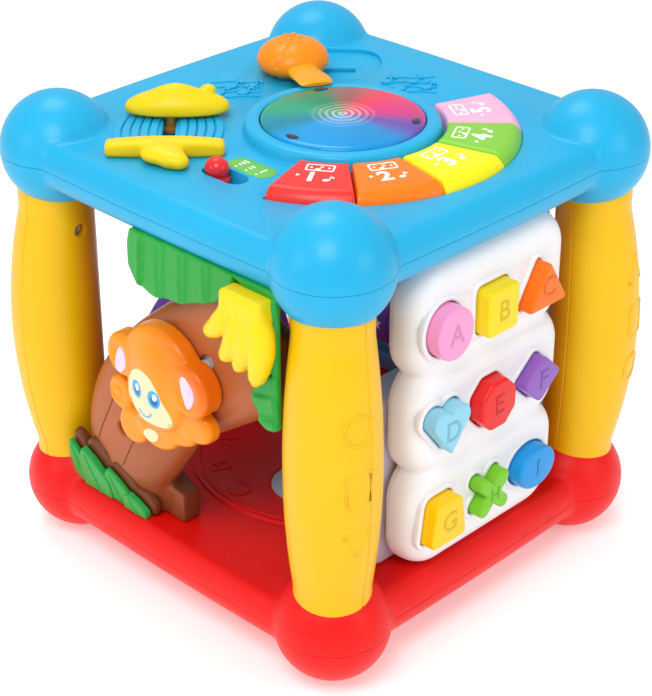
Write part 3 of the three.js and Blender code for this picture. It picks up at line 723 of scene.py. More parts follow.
def leg(name, sx, sy):
    outward = math.atan2(sy, sx)
    seams = [outward + math.radians(a) for a in SEAM_ANGLES]
    angles = set(np.round(np.linspace(0, 2 * math.pi, 97)[:-1], 5))
    groove = [-0.03, -0.014, -0.006, 0.006, 0.014, 0.03]
    for seam in seams:
        angles = {a for a in angles if abs((a - seam + math.pi) % (2 * math.pi) - math.pi) > 0.034}
        angles |= {(seam + g) % (2 * math.pi) for g in groove}
    angles = np.array(sorted(angles))
    depth = np.zeros(len(angles))
    for seam in seams:
        away = np.abs((angles - seam + math.pi) % (2 * math.pi) - math.pi)
        depth = np.where(away < 0.02, -SEAM_DEPTH, depth)
    heights = np.linspace(FLOOR + 1, CEILING - 1, 56)
    rings = [leg_point(angles, np.full(len(angles), z), sx, sy, depth) for z in heights]
    made = make(f"leg_skin_{name}", loft(rings), 60)
    direction = np.array({"front_left": (1, 0, 0), "front_right": (0, 1, 0), "back_right": (-1, 0, 0),
                          "back_left": (0, -1, 0)}[name], float)
    aside = np.array([-direction[1], direction[0], 0])
    centre = np.array([*leg_axis(SCREW_Z, sx, sy), SCREW_Z])
    deep = LEG_R - leg_bow(SCREW_Z) - 6

    def ring(out, r):
        return [centre + direction * out + aside * (r * c) + np.array([0, 0, r * q]) for c, q in circle(1, 28)]

    hole = loft([ring(d, SCREW_HOLE) for d in (deep, deep + 12)])
    soften(cut_away(made, hole), 0.5, 2, 60, 50)
    # Towards the cube's inside the yellow turns orange: painted shade and a painted reflection of the red base.
    axis_at = -DIAGONAL * (HALF_X + HALF_Y + sx * MIDDLE)
    yellow = plastic(f"leg_yellow_{name}", (238, 186, 2), rough=0.36, coat=0.03,
                     second=((242, 128, 8), (-sx * DIAGONAL, -sy * DIAGONAL, 0.0), axis_at + 2, axis_at + 24))
    piece(made, yellow, nodes=[f"leg_{name}"])
    # The screw head's outline, from its cross recess to its rim
    profile = [(0, 1.9), (1.1, 2.0), (1.6, 2.4), (3.0, 2.2), (3.7, 1.4), (3.8, 0)]
    rings = [ring(deep + 0.1 + d, max(r, 0.01)) for r, d in profile]
    piece(make(f"screw_head_{name}", loft(rings)), STEEL, nodes=[f"leg_screw_{name}"])
    leg_marks(name, sx, sy, yellow)


def leg_marks(name, sx, sy, material):
    """Raised outlines of three simple shapes, one above another, on the outer face of a leg."""
    facing = math.atan2(sy, sx) + math.radians(30 if sx * sy > 0 else -30)
    shapes = [circle(9, 36), rounded([(-8, -11), (8, -11), (8, 11), (-8, 11)], 1.5),
              rounded([(-9, 8), (9, 8), (0, -10)], 1.5)]
    if sx > 0:
        shapes = [rounded([(-9, -8), (9, -8), (0, 10)], 1.5), shapes[1], shapes[0]]
    strips = []
    for outline, z0 in zip(shapes, (198, 163, 128) if sx > 0 else (190, 152, 114)):
        flat = np.array(outline + outline[:1])
        z = z0 + flat[:, 1]
        angle = facing + flat[:, 0] / (LEG_R - leg_bow(z))
        path = leg_point(angle, z, sx, sy, -0.1)
        strips.append(tube(path, 1.0, 8))
    piece(make(f"leg_marks_{name}", together(*strips), 60), material)


# Deck details

def keys():
    colours = {"red": (236, 52, 48), "orange": (252, 124, 16), "yellow": (255, 236, 20),
               "green": (132, 200, 58), "pink": (250, 178, 210)}
    for i, (name, colour) in enumerate(colours.items()):
        a0, a1 = KEY_START + i * KEY_STEP, KEY_START + (i + 1) * KEY_STEP
        # Each row of a key: height, inset from its neighbours and outer radius.
        rows = [(-6.6, 0.45, KEY_OUT), (1.0, 0.45, KEY_OUT), (4.2, 0.75, KEY_OUT - 2.6), (5.6, 1.05, KEY_OUT - 4.2),
                (6.6, 1.75, KEY_OUT - 5.6), (7.05, 2.8, KEY_OUT - 7.2), (7.2, 4.2, KEY_OUT - 9)]
        rings = []
        for high, inset, r_out in rows:
            r_in = KEY_IN + max(inset - rows[0][1], 0)

            def edge(r):
                return math.degrees(inset / r)
            outline = rounded(sector_turned(r_in, r_out, a0, a1, edge), 3.2)
            rings.append([(x, y, DECK + high) for x, y in outline])
        made = make(f"key_{name}_cap", loft(rings), 45)
        body = f"key_{name}_body"
        piece(made, plastic(f"key_{name}_plastic", colour, rough=0.3, coat=0.06), body,
              [f"key_{name}"])
        key_print(f"key_{name}_print", str(i + 1), (a0 + a1) / 2, body)


def sector_turned(r0, r1, a0, a1, edge):
    return (arc(r1, a0 + edge(r1), a1 - edge(r1), 16, HUB) + arc(r0, a1 - edge(r0), a0 + edge(r0), 12, HUB))


def note(x, y, size):
    """Quaver as outlines: head, stem and flag."""
    return [oval(0.42 * size, 0.3 * size, (x, y), 20, 20),
            [(x + 0.28 * size, y), (x + 0.42 * size, y), (x + 0.42 * size, y + 1.2 * size),
             (x + 0.28 * size, y + 1.2 * size)],
            rounded([(x + 0.3 * size, y + 1.22 * size), (x + 0.8 * size, y + 0.7 * size),
                     (x + 0.74 * size, y + 0.5 * size), (x + 0.3 * size, y + 0.9 * size)], 0.2)]


def key_print(name, numeral, middle, body):
    z0, z1 = KEY_TOP - 0.35, KEY_TOP + 0.12
    frame_out = round_rect(8.6, 4.6, 1.6, (0, 9.2), 5)
    frame_in = round_rect(7.4, 3.5, 1.0, (0, 9.2), 5)[::-1]
    dots = [oval(0.9, 0.9, (x, 9.2), 14) for x in (-5.2, 5.2)]
    wedge = rounded([(-12, -4.2), (-9.4, -2.6), (-12, -1)], 0.3)
    solids = [plate([frame_out, frame_in], z0, z1, 0.05, 0)]
    solids += [plate([outline], z0, z1, 0.05, 0)
               for outline in note(-1.2, 7.0, 4.2) + dots + note(6.4, -7.4, 5.4) + [wedge]]
    solids += [turned(glyph(numeral, 17, z0, z1, 0.05, 0.55), -3.2, -4.6, 0)]
    x, y = polar((KEY_IN + KEY_OUT) / 2 - 3.5, middle)
    placed = turned(together(*solids), x, y, middle + 90)
    piece(make(name, placed, 60), PRINT_AND_GLINT, body)


def disc_material():
    """Printed disc: colours blend round the centre, with pale rings near it."""
    made = plastic("disc_colours", (0, 170, 140), rough=0.2, coat=0.12, grain=0.01)
    tree = made.node_tree
    place = added(tree, "ShaderNodeTexCoord", {}).outputs["Object"]
    centre = ((HUB[0] + MIDDLE) * MM, HUB[1] * MM, 0)
    shift = added(tree, "ShaderNodeVectorMath", {0: place, 1: centre}, operation="SUBTRACT").outputs["Vector"]
    sweep = added(tree, "ShaderNodeTexGradient", {"Vector": shift}, gradient_type="RADIAL")
    ramp = added(tree, "ShaderNodeValToRGB", {"Fac": sweep.outputs["Fac"]})
    ramp.color_ramp.interpolation = "EASE"
    stops = [(0.02, (232, 40, 84)), (0.11, (150, 84, 76)), (0.19, (0, 132, 88)), (0.33, (0, 160, 120)),
             (0.43, (0, 132, 160)), (0.55, (0, 150, 216)), (0.72, (10, 140, 206)), (0.81, (104, 76, 168)),
             (0.9, (214, 36, 124))]
    # The radial sweep starts on -X and runs anticlockwise, so each stop is turned half a circle.
    stops = sorted([((p + 0.5) % 1.0, c) for p, c in stops])
    for element in ramp.color_ramp.elements:
        element.color = (*linear(stops[0][1]), 1)
    for position, colour in stops:
        ramp.color_ramp.elements.new(position).color = (*linear(colour), 1)
    flat = added(tree, "ShaderNodeVectorMath", {0: shift, 1: (1, 1, 0)}, operation="MULTIPLY").outputs["Vector"]
    length = added(tree, "ShaderNodeVectorMath", {0: flat}, operation="LENGTH").outputs["Value"]
    rings = added(tree, "ShaderNodeTexWave", {"Scale": 75, "Distortion": 2.2, "Detail": 1, "Vector": flat},
                  wave_type="RINGS", rings_direction="Z")
    fade = added(tree, "ShaderNodeMapRange", {"From Min": 0.004, "From Max": 0.022, "To Min": 0.62, "To Max": 0.0,
                                              "Value": length})
    amount = added(tree, "ShaderNodeMath", {0: rings.outputs["Fac"], 1: fade.outputs["Result"]},
                   operation="MULTIPLY").outputs["Value"]
    mix = added(tree, "ShaderNodeMix", {"Factor": amount, "A": ramp.outputs["Color"],
                                        "B": (*linear((235, 225, 205)), 1)}, data_type="RGBA")
    set_inputs(tree, tree.nodes["Principled BSDF"], {"Base Color": mix.outputs["Result"]})
    return made


def spinner():
    low, high = box_mm("spinner_disc")
    radius, top = (high[0] - low[0]) / 2, high[2]
    profile = [(6, DECK - 3), (6, DECK + 2.2), (radius - 0.6, DECK + 2.2), (radius, DECK + 3), (radius, top - 3.2),
               (radius - 0.5, top - 2.4), (radius - 1.6, top - 1.7), (radius - 4, top - 1.1), (25, top - 0.3),
               (0, top)]
    made = make("spinner_face", lathe(profile, HUB, 128))
    piece(made, disc_material(), "spinner", ["spinner_disc"])
    marks = [plate([moved(oval(4.6, 2.6), *polar(radius - 5.5, a), 1.0, a + 90)], top - 1.5, top - 0.55, 0.3, 1)
             for a in (62, 182, 302)]
    piece(make("spinner_marks", together(*marks)), plastic("mark_dark", (40, 34, 52), rough=0.25, coat=0.4),
          "spinner")


def microphone():
    head = np.array([*polar(LEVER_R, LEVER_AT), DECK + 9.2])
    toward = np.array([-math.cos(math.radians(LEVER_AT)), -math.sin(math.radians(LEVER_AT)), 0])
    aside = np.array([-toward[1], toward[0], 0])

    def field(p):
        q = p - head
        upper, lower = (bump(q, (0, 0, 0), (MIC_R, MIC_R, deep)) for deep in (15.2, 11))
        dome = np.where(q[..., 2] > 0, upper, lower)
        dome = smooth_max(dome, -q[..., 2] - 7.6, 3)
        u, v = q @ toward, q @ aside
        near, far = np.hypot(u + 4, v + 21), np.hypot(u + 4, v - 25)
        lines = np.minimum(np.abs(near - 21), np.abs(far - 21)) - 0.4
        return dome + 0.7 * np.exp(-(np.maximum(lines, 0) / 0.7) ** 2) * (q[..., 2] > 1)

    crown = head + np.array([0, 0, 13.6])
    bumps = [ellipsoid(crown + aside * (5 * math.cos(a)) - toward * (3 + 5 * math.sin(a)), (2.4, 2.4, 1.9))
             for a in np.radians(np.arange(0, 360, 60))]
    orange = plastic("mic_orange", (250, 140, 8), rough=0.34, coat=0.08)
    dome = field_solid(field, head - (26, 26, 13), head + (26, 26, 18), 1.1)
    piece(make("microphone_dome", together(dome, *bumps)), orange, "lever", ["microphone_head"])
    rings = []
    # Each row of the handle: distance from the hub, half width, underside and top.
    rows = [(52, 9.4, 9.8, 12), (54, 10.8, 9.7, 12.8), (60, 11.4, 9.6, 13.4), (67, 11.2, 7.6, 13.4),
            (78, 10.6, 4, 13.6), (90, 10, 3, 14)]
    for r, half, low, high in smooth_path(rows, 20):
        x, y = polar(r, LEVER_AT)
        middle, tall = DECK + (low + high) / 2, (high - low) / 2
        rings.append([(x + half * c * aside[0], y + half * c * aside[1], middle + tall * q)
                      for c, q in circle(1, 36)])
    amber = plastic("handle_amber", (232, 160, 24), rough=0.28, coat=0.15, soft=0.1)
    piece(make("microphone_grip", loft(rings)), amber, "lever", ["microphone_handle"])


def ellipsoid(centre, radii, steps=20):
    rings = []
    for a in np.radians(np.linspace(-89, 89, steps)):
        ring = np.array(circle(math.cos(a), 2 * steps))
        rings.append(np.column_stack([ring, np.full(len(ring), math.sin(a))]) * radii + centre)
    return loft(rings)


def cymbals():
    # The yellow darkens slightly towards the deck: painted shade.
    yellow = plastic("cymbal_yellow", (238, 206, 8), rough=0.36, coat=0.05,
                     second=((236, 190, 8), (0, 0, -1), -(DECK + 8), -(DECK + 1)))

    def placed(solid):
        s, w, h = np.array(solid[0]).T
        return np.column_stack([*along(s, w), h + DECK]), solid[1]

    def fixed(p):
        s, w, h = p[..., 0], p[..., 1], p[..., 2]
        tall = 5.6 - 1.4 * (w / 36) ** 2
        thin = np.abs(s + 2.6 - 1.6 * (w / 36) ** 2) - 3.0
        q = np.stack([thin, np.abs(w) - 33, np.abs(h - tall) - tall + 2.6], -1)
        plate_part = np.linalg.norm(np.maximum(q, 0), axis=-1) + np.minimum(q.max(-1), 0) - 2.6
        lobes = smooth_min(bump(p, (-12, -1, 5.5), (11, 13, 6)), bump(p, (-19, 5, 5), (8.4, 8.6, 5.6)), 2)
        lobes = smooth_min(lobes, bump(p, (-22.5, 9.5, 4.4), (6, 6, 4.6)), 1.5)
        return smooth_max(smooth_min(plate_part, lobes, 1.5), -h - 0.2, 0.5)

    def slider(p):
        s, w, h = p[..., 0] - 60, p[..., 1] - 4, p[..., 2]
        out = (np.abs(w / 32.5) ** 2.3 + np.abs(s / 13.5) ** 2.3) ** (1 / 2.3)
        top = 9.5 + 6.5 * np.maximum(1 - out ** 2, 0) ** 0.9 + 5 * np.exp(-((w + 1) / 15) ** 2 - (s / 9) ** 2)
        body = smooth_max(smooth_max((out - 1) * 13.5, h - top, 3.5), 3.6 - h, 1.6)
        knob = bump(p, (66, 23, 14.5), (5, 5, 3.4))
        return smooth_min(body, knob, 1.2)

    fixed_dish = placed(field_solid(fixed, (-31, -38, -1.5), (6, 38, 13.5), 1.2))
    piece(make("cymbal_fixed_dish", fixed_dish, 50), yellow, nodes=["cymbal_fixed"])
    slider_dish = placed(field_solid(slider, (44, -31, 1.5), (76, 39, 23.5), 1.2))
    piece(make("cymbal_slider_dish", slider_dish, 50), yellow, "cymbal", ["cymbal_slider"])
    # The stalk darkens towards its foot, down in the slot: painted shade.
    stem = plastic("cymbal_stem", (214, 164, 74), rough=0.45, coat=0.05,
                   second=((150, 100, 50), (0, 0, -1), -(DECK + 1), -(DECK - 8)))
    x, y = along(57)
    post = [(8, DECK - 8), (8, DECK - 5.4), (3.9, DECK - 4.8), (3.9, DECK + 6), (3.9, DECK + 9)]
    piece(make("cymbal_slider_stem", lathe(post, (x, y), 36)), stem, "cymbal")
    ribs = []
    for w in (9, 14.6, 20.2, 25.8, 31.4):
        for side in (-1, 1):
            line = [along(s, side * w * (0.84 + 0.16 * (1 - ((s - 34) / 26) ** 2))) for s in np.linspace(9, 59, 18)]
            ribs.append(plate([strip(line, 2.3)], DECK - 1, DECK + 1.5, 0.7, 2))
    piece(make("cymbal_ribs", together(*ribs)), BLUE)


def strip(line, half):
    """Flat band of a constant width round an open line."""
    p = np.array(line, float)
    t = np.gradient(p, axis=0)
    n = np.column_stack([-t[:, 1], t[:, 0]]) / np.linalg.norm(t, axis=1)[:, None] * half
    return [tuple(q) for q in np.vstack([p + n, (p - n)[::-1]])]


def volume():
    def mark(outline):
        return plate([outline], DECK, DECK + 0.38, 0.04, 0)

    x, y = VOLUME[0], VOLUME[1] + 7
    profile = [(7.4, DECK - 7), (7.4, DECK - 4), (5.4, DECK - 3.4)] + [
        (7.1 * c, DECK + 2.2 + 6.8 * s) for c, s in arc(1, -44, 89, 14)] + [(0, DECK + 9)]
    stretched = lathe(profile, (0, 0), 48)
    points = stretched[0] * (1.0, 1.06, 1.0) + (x, y, 0)
    red = plastic("knob_red", (226, 40, 44), rough=0.3, coat=0.25, soft=0.05)
    piece(make("volume_cap", (points, stretched[1])), red, "volume", ["volume_knob"])
    label = plate([bar((-77.5, -26), (-77.5, -7), 8)], DECK - 0.4, DECK + 0.25, 0.1, 1)
    piece(make("volume_label", label), plastic("label_green", (106, 190, 84), rough=0.45, vary=0.03))
    marks = []
    for y0, bars in ((-8, 3), (-16.5, 2), (-25, 0)):
        marks.append(mark(oval(0.8, 0.8, (-82.5, y0), 14)))
        for k in range(bars):
            x0, tall = -79 + 2.6 * k, 0.9 + 0.5 * k
            marks.append(mark(bar((x0, y0 - tall), (x0, y0 + tall), 0.55)))
        if not bars:
            marks.append(mark(bar((-79, y0), (-74, y0), 0.55)))
    piece(make("volume_marks", together(*marks)), PRINT_AND_GLINT)


def staves():
    """Raised lines with notes on them, each side of the microphone and clear of its arm's swing."""
    solids = []
    # Each group: its centre, how far its lines run to the right, and its notes.
    for (x, y), reach, spots in (((3, 80), 13, ((-13, -9), (-5, 3), (3, -8), (8, 4))),
                                 ((84, 8), 19, ((-13, 4), (-5, -9), (4, 4), (12, -7)))):
        parts = []
        for k in range(4):
            wave = [(px, 8.4 * (k - 1.5) + 1.1 * math.sin(0.25 * px + k))
                    for px in np.linspace(reach - 32, reach, 24)]
            parts.append(plate([strip(wave, 0.8)], DECK - 0.5, DECK + 0.9, 0.4, 1))
        for px, py in spots:
            parts += [plate([o], DECK - 0.5, DECK + 1.5, 0.35, 1) for o in note(px, py, 9.5)]
        solids.append(turned(together(*parts), x, y, -45))
    piece(make("deck_staves", together(*solids)), BLUE)


# Letter side

# Half size, corner radius and pitch of the panel's three lobes, and the panel's depth in front and behind
LOBE_W, LOBE_H, LOBE_R, LOBE_PITCH, PANEL_D, PANEL_BACK = 69.8, 38.3, 26, 65.9, 18.5, 7.3
PANEL_MID = (FLOOR + CEILING) / 2
LETTER = 122.5
PITCH_ACROSS, PITCH_UP = 42, 64.3
FIT = 1.045    # a button's hole against its outline
HEART = (arc(9.4, -20, 140, 14, (8.6, 7.6)) + arc(9.4, 40, 200, 14, (-8.6, 7.6)) + [(0, -18.5)])
CROSS = [p for a in (45, 135, 225, 315)
         for p in bar((0, 0), arc(14.5, a, a + 1, 1)[0], 5.4)[:9] + [arc(7.64, a + 45, a + 46, 1)[0]]]
BUTTONS = {
    "a": (circle(17.5, 64), (244, 154, 202), "button_pink"),
    "b": (round_rect(14.5, 16.5, 4.5, steps=6), (240, 212, 10), "button_yellow"),
    "c": (rounded([(-20.3, -15.5), (20.3, -15.5), (0, 19.5)], 6), (252, 112, 8), "button_orange"),
    "d": (HEART, (140, 206, 230), "button_sky"),
    "e": (rounded(arc(18.4, 22.5, 337.5, 7), 2), (228, 30, 30), "button_red"),
    "f": (rounded([(18.5, 1), (2, 18.5), (-18.5, -1), (-2, -18.5)], 4), (140, 92, 184), "button_purple"),
    "g": (rounded([(-18.2, -17), (18.2, -17), (13, 17), (-13, 17)], 6), (252, 202, 8), "button_gold"),
    "h": (CROSS, (118, 196, 36), "button_green"),
    "i": (oval(18.4, 15.5, steps=64), (18, 146, 220), "button_blue"),
}


# Size of each button against its outline, across and up
SIZES = {"a": (0.87, 0.96), "b": (0.95, 0.93), "c": (0.92, 0.89), "d": (0.88, 0.87), "e": (0.93, 0.95),
         "f": (0.94, 0.84), "g": (0.87, 0.9), "h": (0.87, 0.87), "i": (0.95, 0.92)}


def button_outline(key):
    return [(x * SIZES[key][0], y * SIZES[key][1]) for x, y in BUTTONS[key][0]]


def button_spot(key):
    row, column = divmod("abcdefghi".index(key), 3)
    front = from_side(f"button_{key}", 0)[1][2]
    return PITCH_ACROSS * (column - 1) - 5, PANEL_MID + PITCH_UP * (1 - row) - 1, front


def letter_side():
    spots = {key: button_spot(key) for key in BUTTONS}
    holes = {key: moved(button_outline(key), x, y, FIT) for key, (x, y, _) in spots.items()}

    def field(p):
        x, y, z = p[..., 0], p[..., 1], p[..., 2]
        shape = None
        for k in (-1, 0, 1):
            dx = np.abs(x) - LOBE_W + LOBE_R
            dy = np.abs(y - PANEL_MID - k * LOBE_PITCH) - LOBE_H + LOBE_R
            flat = np.minimum(np.maximum(dx, dy), 0) + np.hypot(np.maximum(dx, 0), np.maximum(dy, 0)) - LOBE_R
            past = np.maximum(flat + 17, 0) / 17
            deep = np.where(z > 0, z / PANEL_D, -z / PANEL_BACK)
            lobe = 14 * ((past ** 2.5 + np.abs(deep) ** 2.5) ** 0.4 - 1)
            shape = lobe if shape is None else smooth_min(shape, lobe, 2.5)
        for (px, py, _), hole in zip(spots.values(), holes.values()):
            near = (np.abs(x - px) < 26) & (np.abs(y - py) < 26)
            if near.any():
                inner = np.full(shape.shape, 9.0)
                inner[near] = outline_distance(x[near], y[near], hole)
                pocket = np.maximum(inner, 9.5 - z)
                shape = np.maximum(shape, -pocket)
        return shape

    reach = LOBE_W + 4
    solid = field_solid(field, (-reach, FLOOR - 3, -PANEL_BACK - 3.1), (reach, CEILING + 3, PANEL_D + 3), 1.7)
    front, back = halved(on_side(solid, 0, LETTER), (0, -LETTER, 0), (0, -1, 0),
                         ("letter_shell_front", "letter_shell_rear"))
    warm = plastic("panel_warm", (240, 232, 226), rough=0.38, coat=0.08, vary=0.02, soft=0.1)
    piece(front, WHITE, nodes=["letter_panel_front"])
    piece(back, warm, nodes=["letter_panel_rear"])
    rims = []
    for key, (x, y, _) in spots.items():
        shape = button_outline(key)
        outer = grown(moved(shape, x, y), 4.0)
        rims.append(plate([outer, moved(shape, x, y, FIT)[::-1]], 15, 20.2, 1.3, 3))
    piece(make("letter_rims", on_side(together(*rims), 0, LETTER), 45), WHITE)
    for key, (x, y, top) in spots.items():
        shape, colour, slot = button_outline(key), *BUTTONS[key][1:]
        top -= LETTER
        cap = plate([moved(shape, x, y)], 12.2, top, 1.9, 4)
        material = plastic(f"{slot}_plastic", colour, rough=0.3, coat=0.06)
        body = f"button_{key}_body"
        piece(make(f"button_{key}_cap", on_side(cap, 0, LETTER), 45), material, body, [f"button_{key}"])
        letter = turned(glyph(key.upper(), 19 if key != "h" else 13, top - 0.5, top + 0.55, 0.25), x, y, 0)
        letter = (letter[0] - (0, 0.5, 0.1), letter[1])
        # The raised letters are moulded in the button's own colour; their darker tone is painted shade round the
        # strokes.
        darker = plastic(f"{slot}_letter", [c * 0.86 for c in colour], rough=0.34, coat=0.15)
        piece(make(f"button_{key}_letter", on_side(letter, 0, LETTER), 60), darker, body)


def grown(outline, by):
    """The outline moved outwards by a distance, with round corners."""
    p = np.array(outline, float)
    ahead = np.roll(p, -1, 0) - p
    ahead /= np.maximum(np.linalg.norm(ahead, axis=1), 1e-9)[:, None]
    behind = np.roll(ahead, 1, 0)
    area = 0.5 * np.sum(p[:, 0] * np.roll(p[:, 1], -1) - np.roll(p[:, 0], -1) * p[:, 1])
    sign = 1 if area > 0 else -1
    made = []
    for point, a, b in zip(p, behind, ahead):
        na, nb = sign * np.array([a[1], -a[0]]), sign * np.array([b[1], -b[0]])
        turn = sign * (a[0] * b[1] - a[1] * b[0])
        if turn > 0.2:
            start = math.atan2(na[1], na[0])
            sweep = (math.atan2(nb[1], nb[0]) - start + math.pi) % (2 * math.pi) - math.pi
            made += [tuple(point + by * np.array([math.cos(start + sweep * t), math.sin(start + sweep * t)]))
                     for t in np.linspace(0, 1, 6)]
        else:
            both = na + nb
            both /= np.linalg.norm(both)
            made.append(tuple(point + both * by / max(0.5, both @ na)))
    return made


def housing():
    low, high = from_side("battery_housing", 0)
    middle, half = (low + high) / 2, (high - low) / 2
    # The housing and its lid are white plastic; their lilac-grey tone is painted shade, as they sit in shade behind
    # the letter panel.
    lilac = plastic("housing_lilac", (208, 200, 216), rough=0.4, coat=0.08, vary=0.02)
    shell = plate([round_rect(half[0], half[1], 14, middle[:2])], low[2], high[2], 2.5, 4)
    made = make("battery_case", on_side(shell, 0))
    dlow, dhigh = from_side("battery_door", 0)
    dmid, dhalf = (dlow + dhigh) / 2, (dhigh - dlow) / 2
    pocket = plate([round_rect(dhalf[0] + 0.4, dhalf[1] + 0.4, 3, dmid[:2])], low[2] - 3, low[2] + 14, 0.01, 0)
    piece(cut_away(made, on_side(pocket, 0)), lilac, nodes=["battery_housing"])
    door = plate([round_rect(dhalf[0], dhalf[1], 2.8, dmid[:2])], dlow[2], dhigh[2], 0.6)
    ribs = [plate([bar((dmid[0] - 12, dmid[1] + 6 * k), (dmid[0] + 12, dmid[1] + 6 * k), 0.9)], dlow[2] - 0.3,
                  dlow[2] + 1, 0.3, 1) for k in (-2, -1, 0, 1, 2)]
    screw = [plate([circle(3.2, 24, (dmid[0], dmid[1] + 20 * k))], dlow[2] - 0.3, dlow[2] + 1, 0.5)
             for k in (-1, 1)]
    piece(make("battery_lid", on_side(together(door, *ribs), 0)), lilac,
          nodes=["battery_door"])
    piece(make("battery_lid_screws", on_side(together(*screw), 0)), STEEL)


# Tree side

# Distance of the trunk's parting plane from the centre, and its depth in front
TREE, TREE_D = 122, 17
ON_TREE = TREE_D + 0.8
SLOT_HALF = 4.7
SLIDE = (math.cos(math.radians(44.4)), math.sin(math.radians(44.4)))
# The trunk and its branch, as rows of (right, up, half width)
TRUNK_PATH = smooth_path([(-54, FLOOR - 6, 27), (-53, 84, 35), (-39, 118, 42), (-16, 150, 41), (12, 180, 37),
                          (36, 206, 31), (53, 234, 26), (57, 268, 24)], 60)
BRANCH_PATH = smooth_path([(-10, 148, 34), (18, 167, 34), (44, 184, 33), (66, 198, 32)], 30)


def slot_point(s):
    return np.array([-1 + SLIDE[0] * s, 154 + SLIDE[1] * s])


def trunk():
    ends = slot_point(-57.5), slot_point(57.5)

    def field(p):
        x, y, z = p[..., 0], p[..., 1], p[..., 2]
        shape = np.full(x.shape, 1e9)
        for u, v, half in np.vstack([TRUNK_PATH, BRANCH_PATH]):
            gap = np.hypot(x - u, y - v) - half
            shape = np.minimum(shape, gap)
        past = np.maximum(shape + 26, 0) / 26
        deep = np.where(z > 0, TREE_D * np.interp(y, [FLOOR, 80, 106], [0.3, 0.88, 1]), TREE_D)
        body = 14 * ((past ** 2.3 + (np.abs(z) / deep) ** 2.3) ** (1 / 2.3) - 1)
        foot = np.array([-28.0, FLOOR + 13, -10.0])
        tip = np.array([-13.0, FLOOR + 11, -6.0])
        t = share_along(p, foot, tip)
        away = np.abs(p - foot - t[..., None] * (tip - foot))
        root = np.linalg.norm(np.maximum(away - (6, 9, 5), 0), axis=-1) - 2.2
        body = smooth_min(body, root, 5)
        a, b = ends
        t = share_along(p[..., :2], a, b)
        groove = np.hypot(x - a[0] - t * (b - a)[0], y - a[1] - t * (b - a)[1]) - SLOT_HALF
        body = smooth_max(body, -np.maximum(groove, 9 - z), 0.9)
        return np.maximum(np.maximum(np.maximum(body, FLOOR + 0.3 - y), y - CEILING + 0.3), x - 89)

    solid = field_solid(field, (-96, FLOOR - 3, -TREE_D - 2.2), (92, CEILING + 3, TREE_D + 3), 1.8)
    front, back = halved(on_side(solid, -1, TREE), (-TREE, 0, 0), (-1, 0, 0), ("trunk_bark_front", "trunk_bark_rear"))
    # The brown darkens towards the lower right edges: painted shade.
    bark = plastic("trunk_brown", (176, 94, 48), rough=0.42, coat=0.08, vary=0.1, grain=0.06,
                   second=((112, 52, 24), (0, -0.6, -0.8), -120, -20))
    dark = plastic("trunk_dark", (122, 62, 32), rough=0.46, coat=0.05, vary=0.1, grain=0.06)
    piece(front, bark, nodes=["trunk_front"])
    piece(back, dark, nodes=["trunk_rear"])
    lines = []
    for start, end in (((-50, 132), (-68, 96)), ((-30, 112), (-46, 84))):
        flat = np.linspace(start, end, 14)
        z = surface_height(field, flat[:, 0], flat[:, 1], TREE_D + 3, 4)
        lines.append(tube(np.column_stack([flat, z]), 0.35, 6))
    piece(make("trunk_seams", on_side(together(*lines), -1, TREE)), plastic("seam_brown", (84, 40, 20), rough=0.6))


MONKEY_HEAD, LEFT_EAR, RIGHT_EAR = (8, 181), (-24, 179), (37, 178)


def monkey_field(p):
    """Head, cheeks, ears, body, limbs and curled tail, on a flat back at z = 0."""
    shape = smooth_min(puck(p, MONKEY_HEAD, 30.5, 27.5, 12.5, 5), bump(p, (*MONKEY_HEAD, 1), (29.5, 26.6, 16)), 3)
    cheeks = smooth_min(puck(p, (5.5, 161), 24.5, 22, 14, 4.4), bump(p, (5.5, 162, 1), (24, 21.5, 16)), 3)
    shape = smooth_min(shape, cheeks, 4)
    for centre, rx, ry, deep in ((LEFT_EAR, 12.8, 14.6, 13), (RIGHT_EAR, 16.8, 16.8, 14.5)):
        ear = puck(p, centre, rx, ry, deep, 4)
        dish = bump(p, (centre[0], centre[1] - 1, deep + 3.2), (rx * 0.62, ry * 0.66, 6.0))
        shape = smooth_min(shape, smooth_max(ear, -dish, 1.5), 2.0)
    body = smooth_min(puck(p, (2, 138), 18.8, 16, 10.5, 6), puck(p, (20, 145), 17, 13, 9.5, 5), 4)
    shape = smooth_min(shape, body, 1.6)
    for centre, rx, ry, deep in (((-21, 129), 12.6, 12.6, 9.5), ((37, 152), 14, 11, 9.8)):
        shape = smooth_min(shape, puck(p, centre, rx, ry, deep, 4.4), 2.0)
    curl = puck(p, (-33, 147), 10.8, 11.8, 7.6, 3.4)
    turn = np.hypot(p[..., 0] + 35, p[..., 1] - 147)
    curl = curl + 1.1 * np.exp(-((turn - 4.6) / 1.1) ** 2)
    return smooth_max(smooth_min(shape, curl, 1.6), 0.2 - p[..., 2], 0.6)


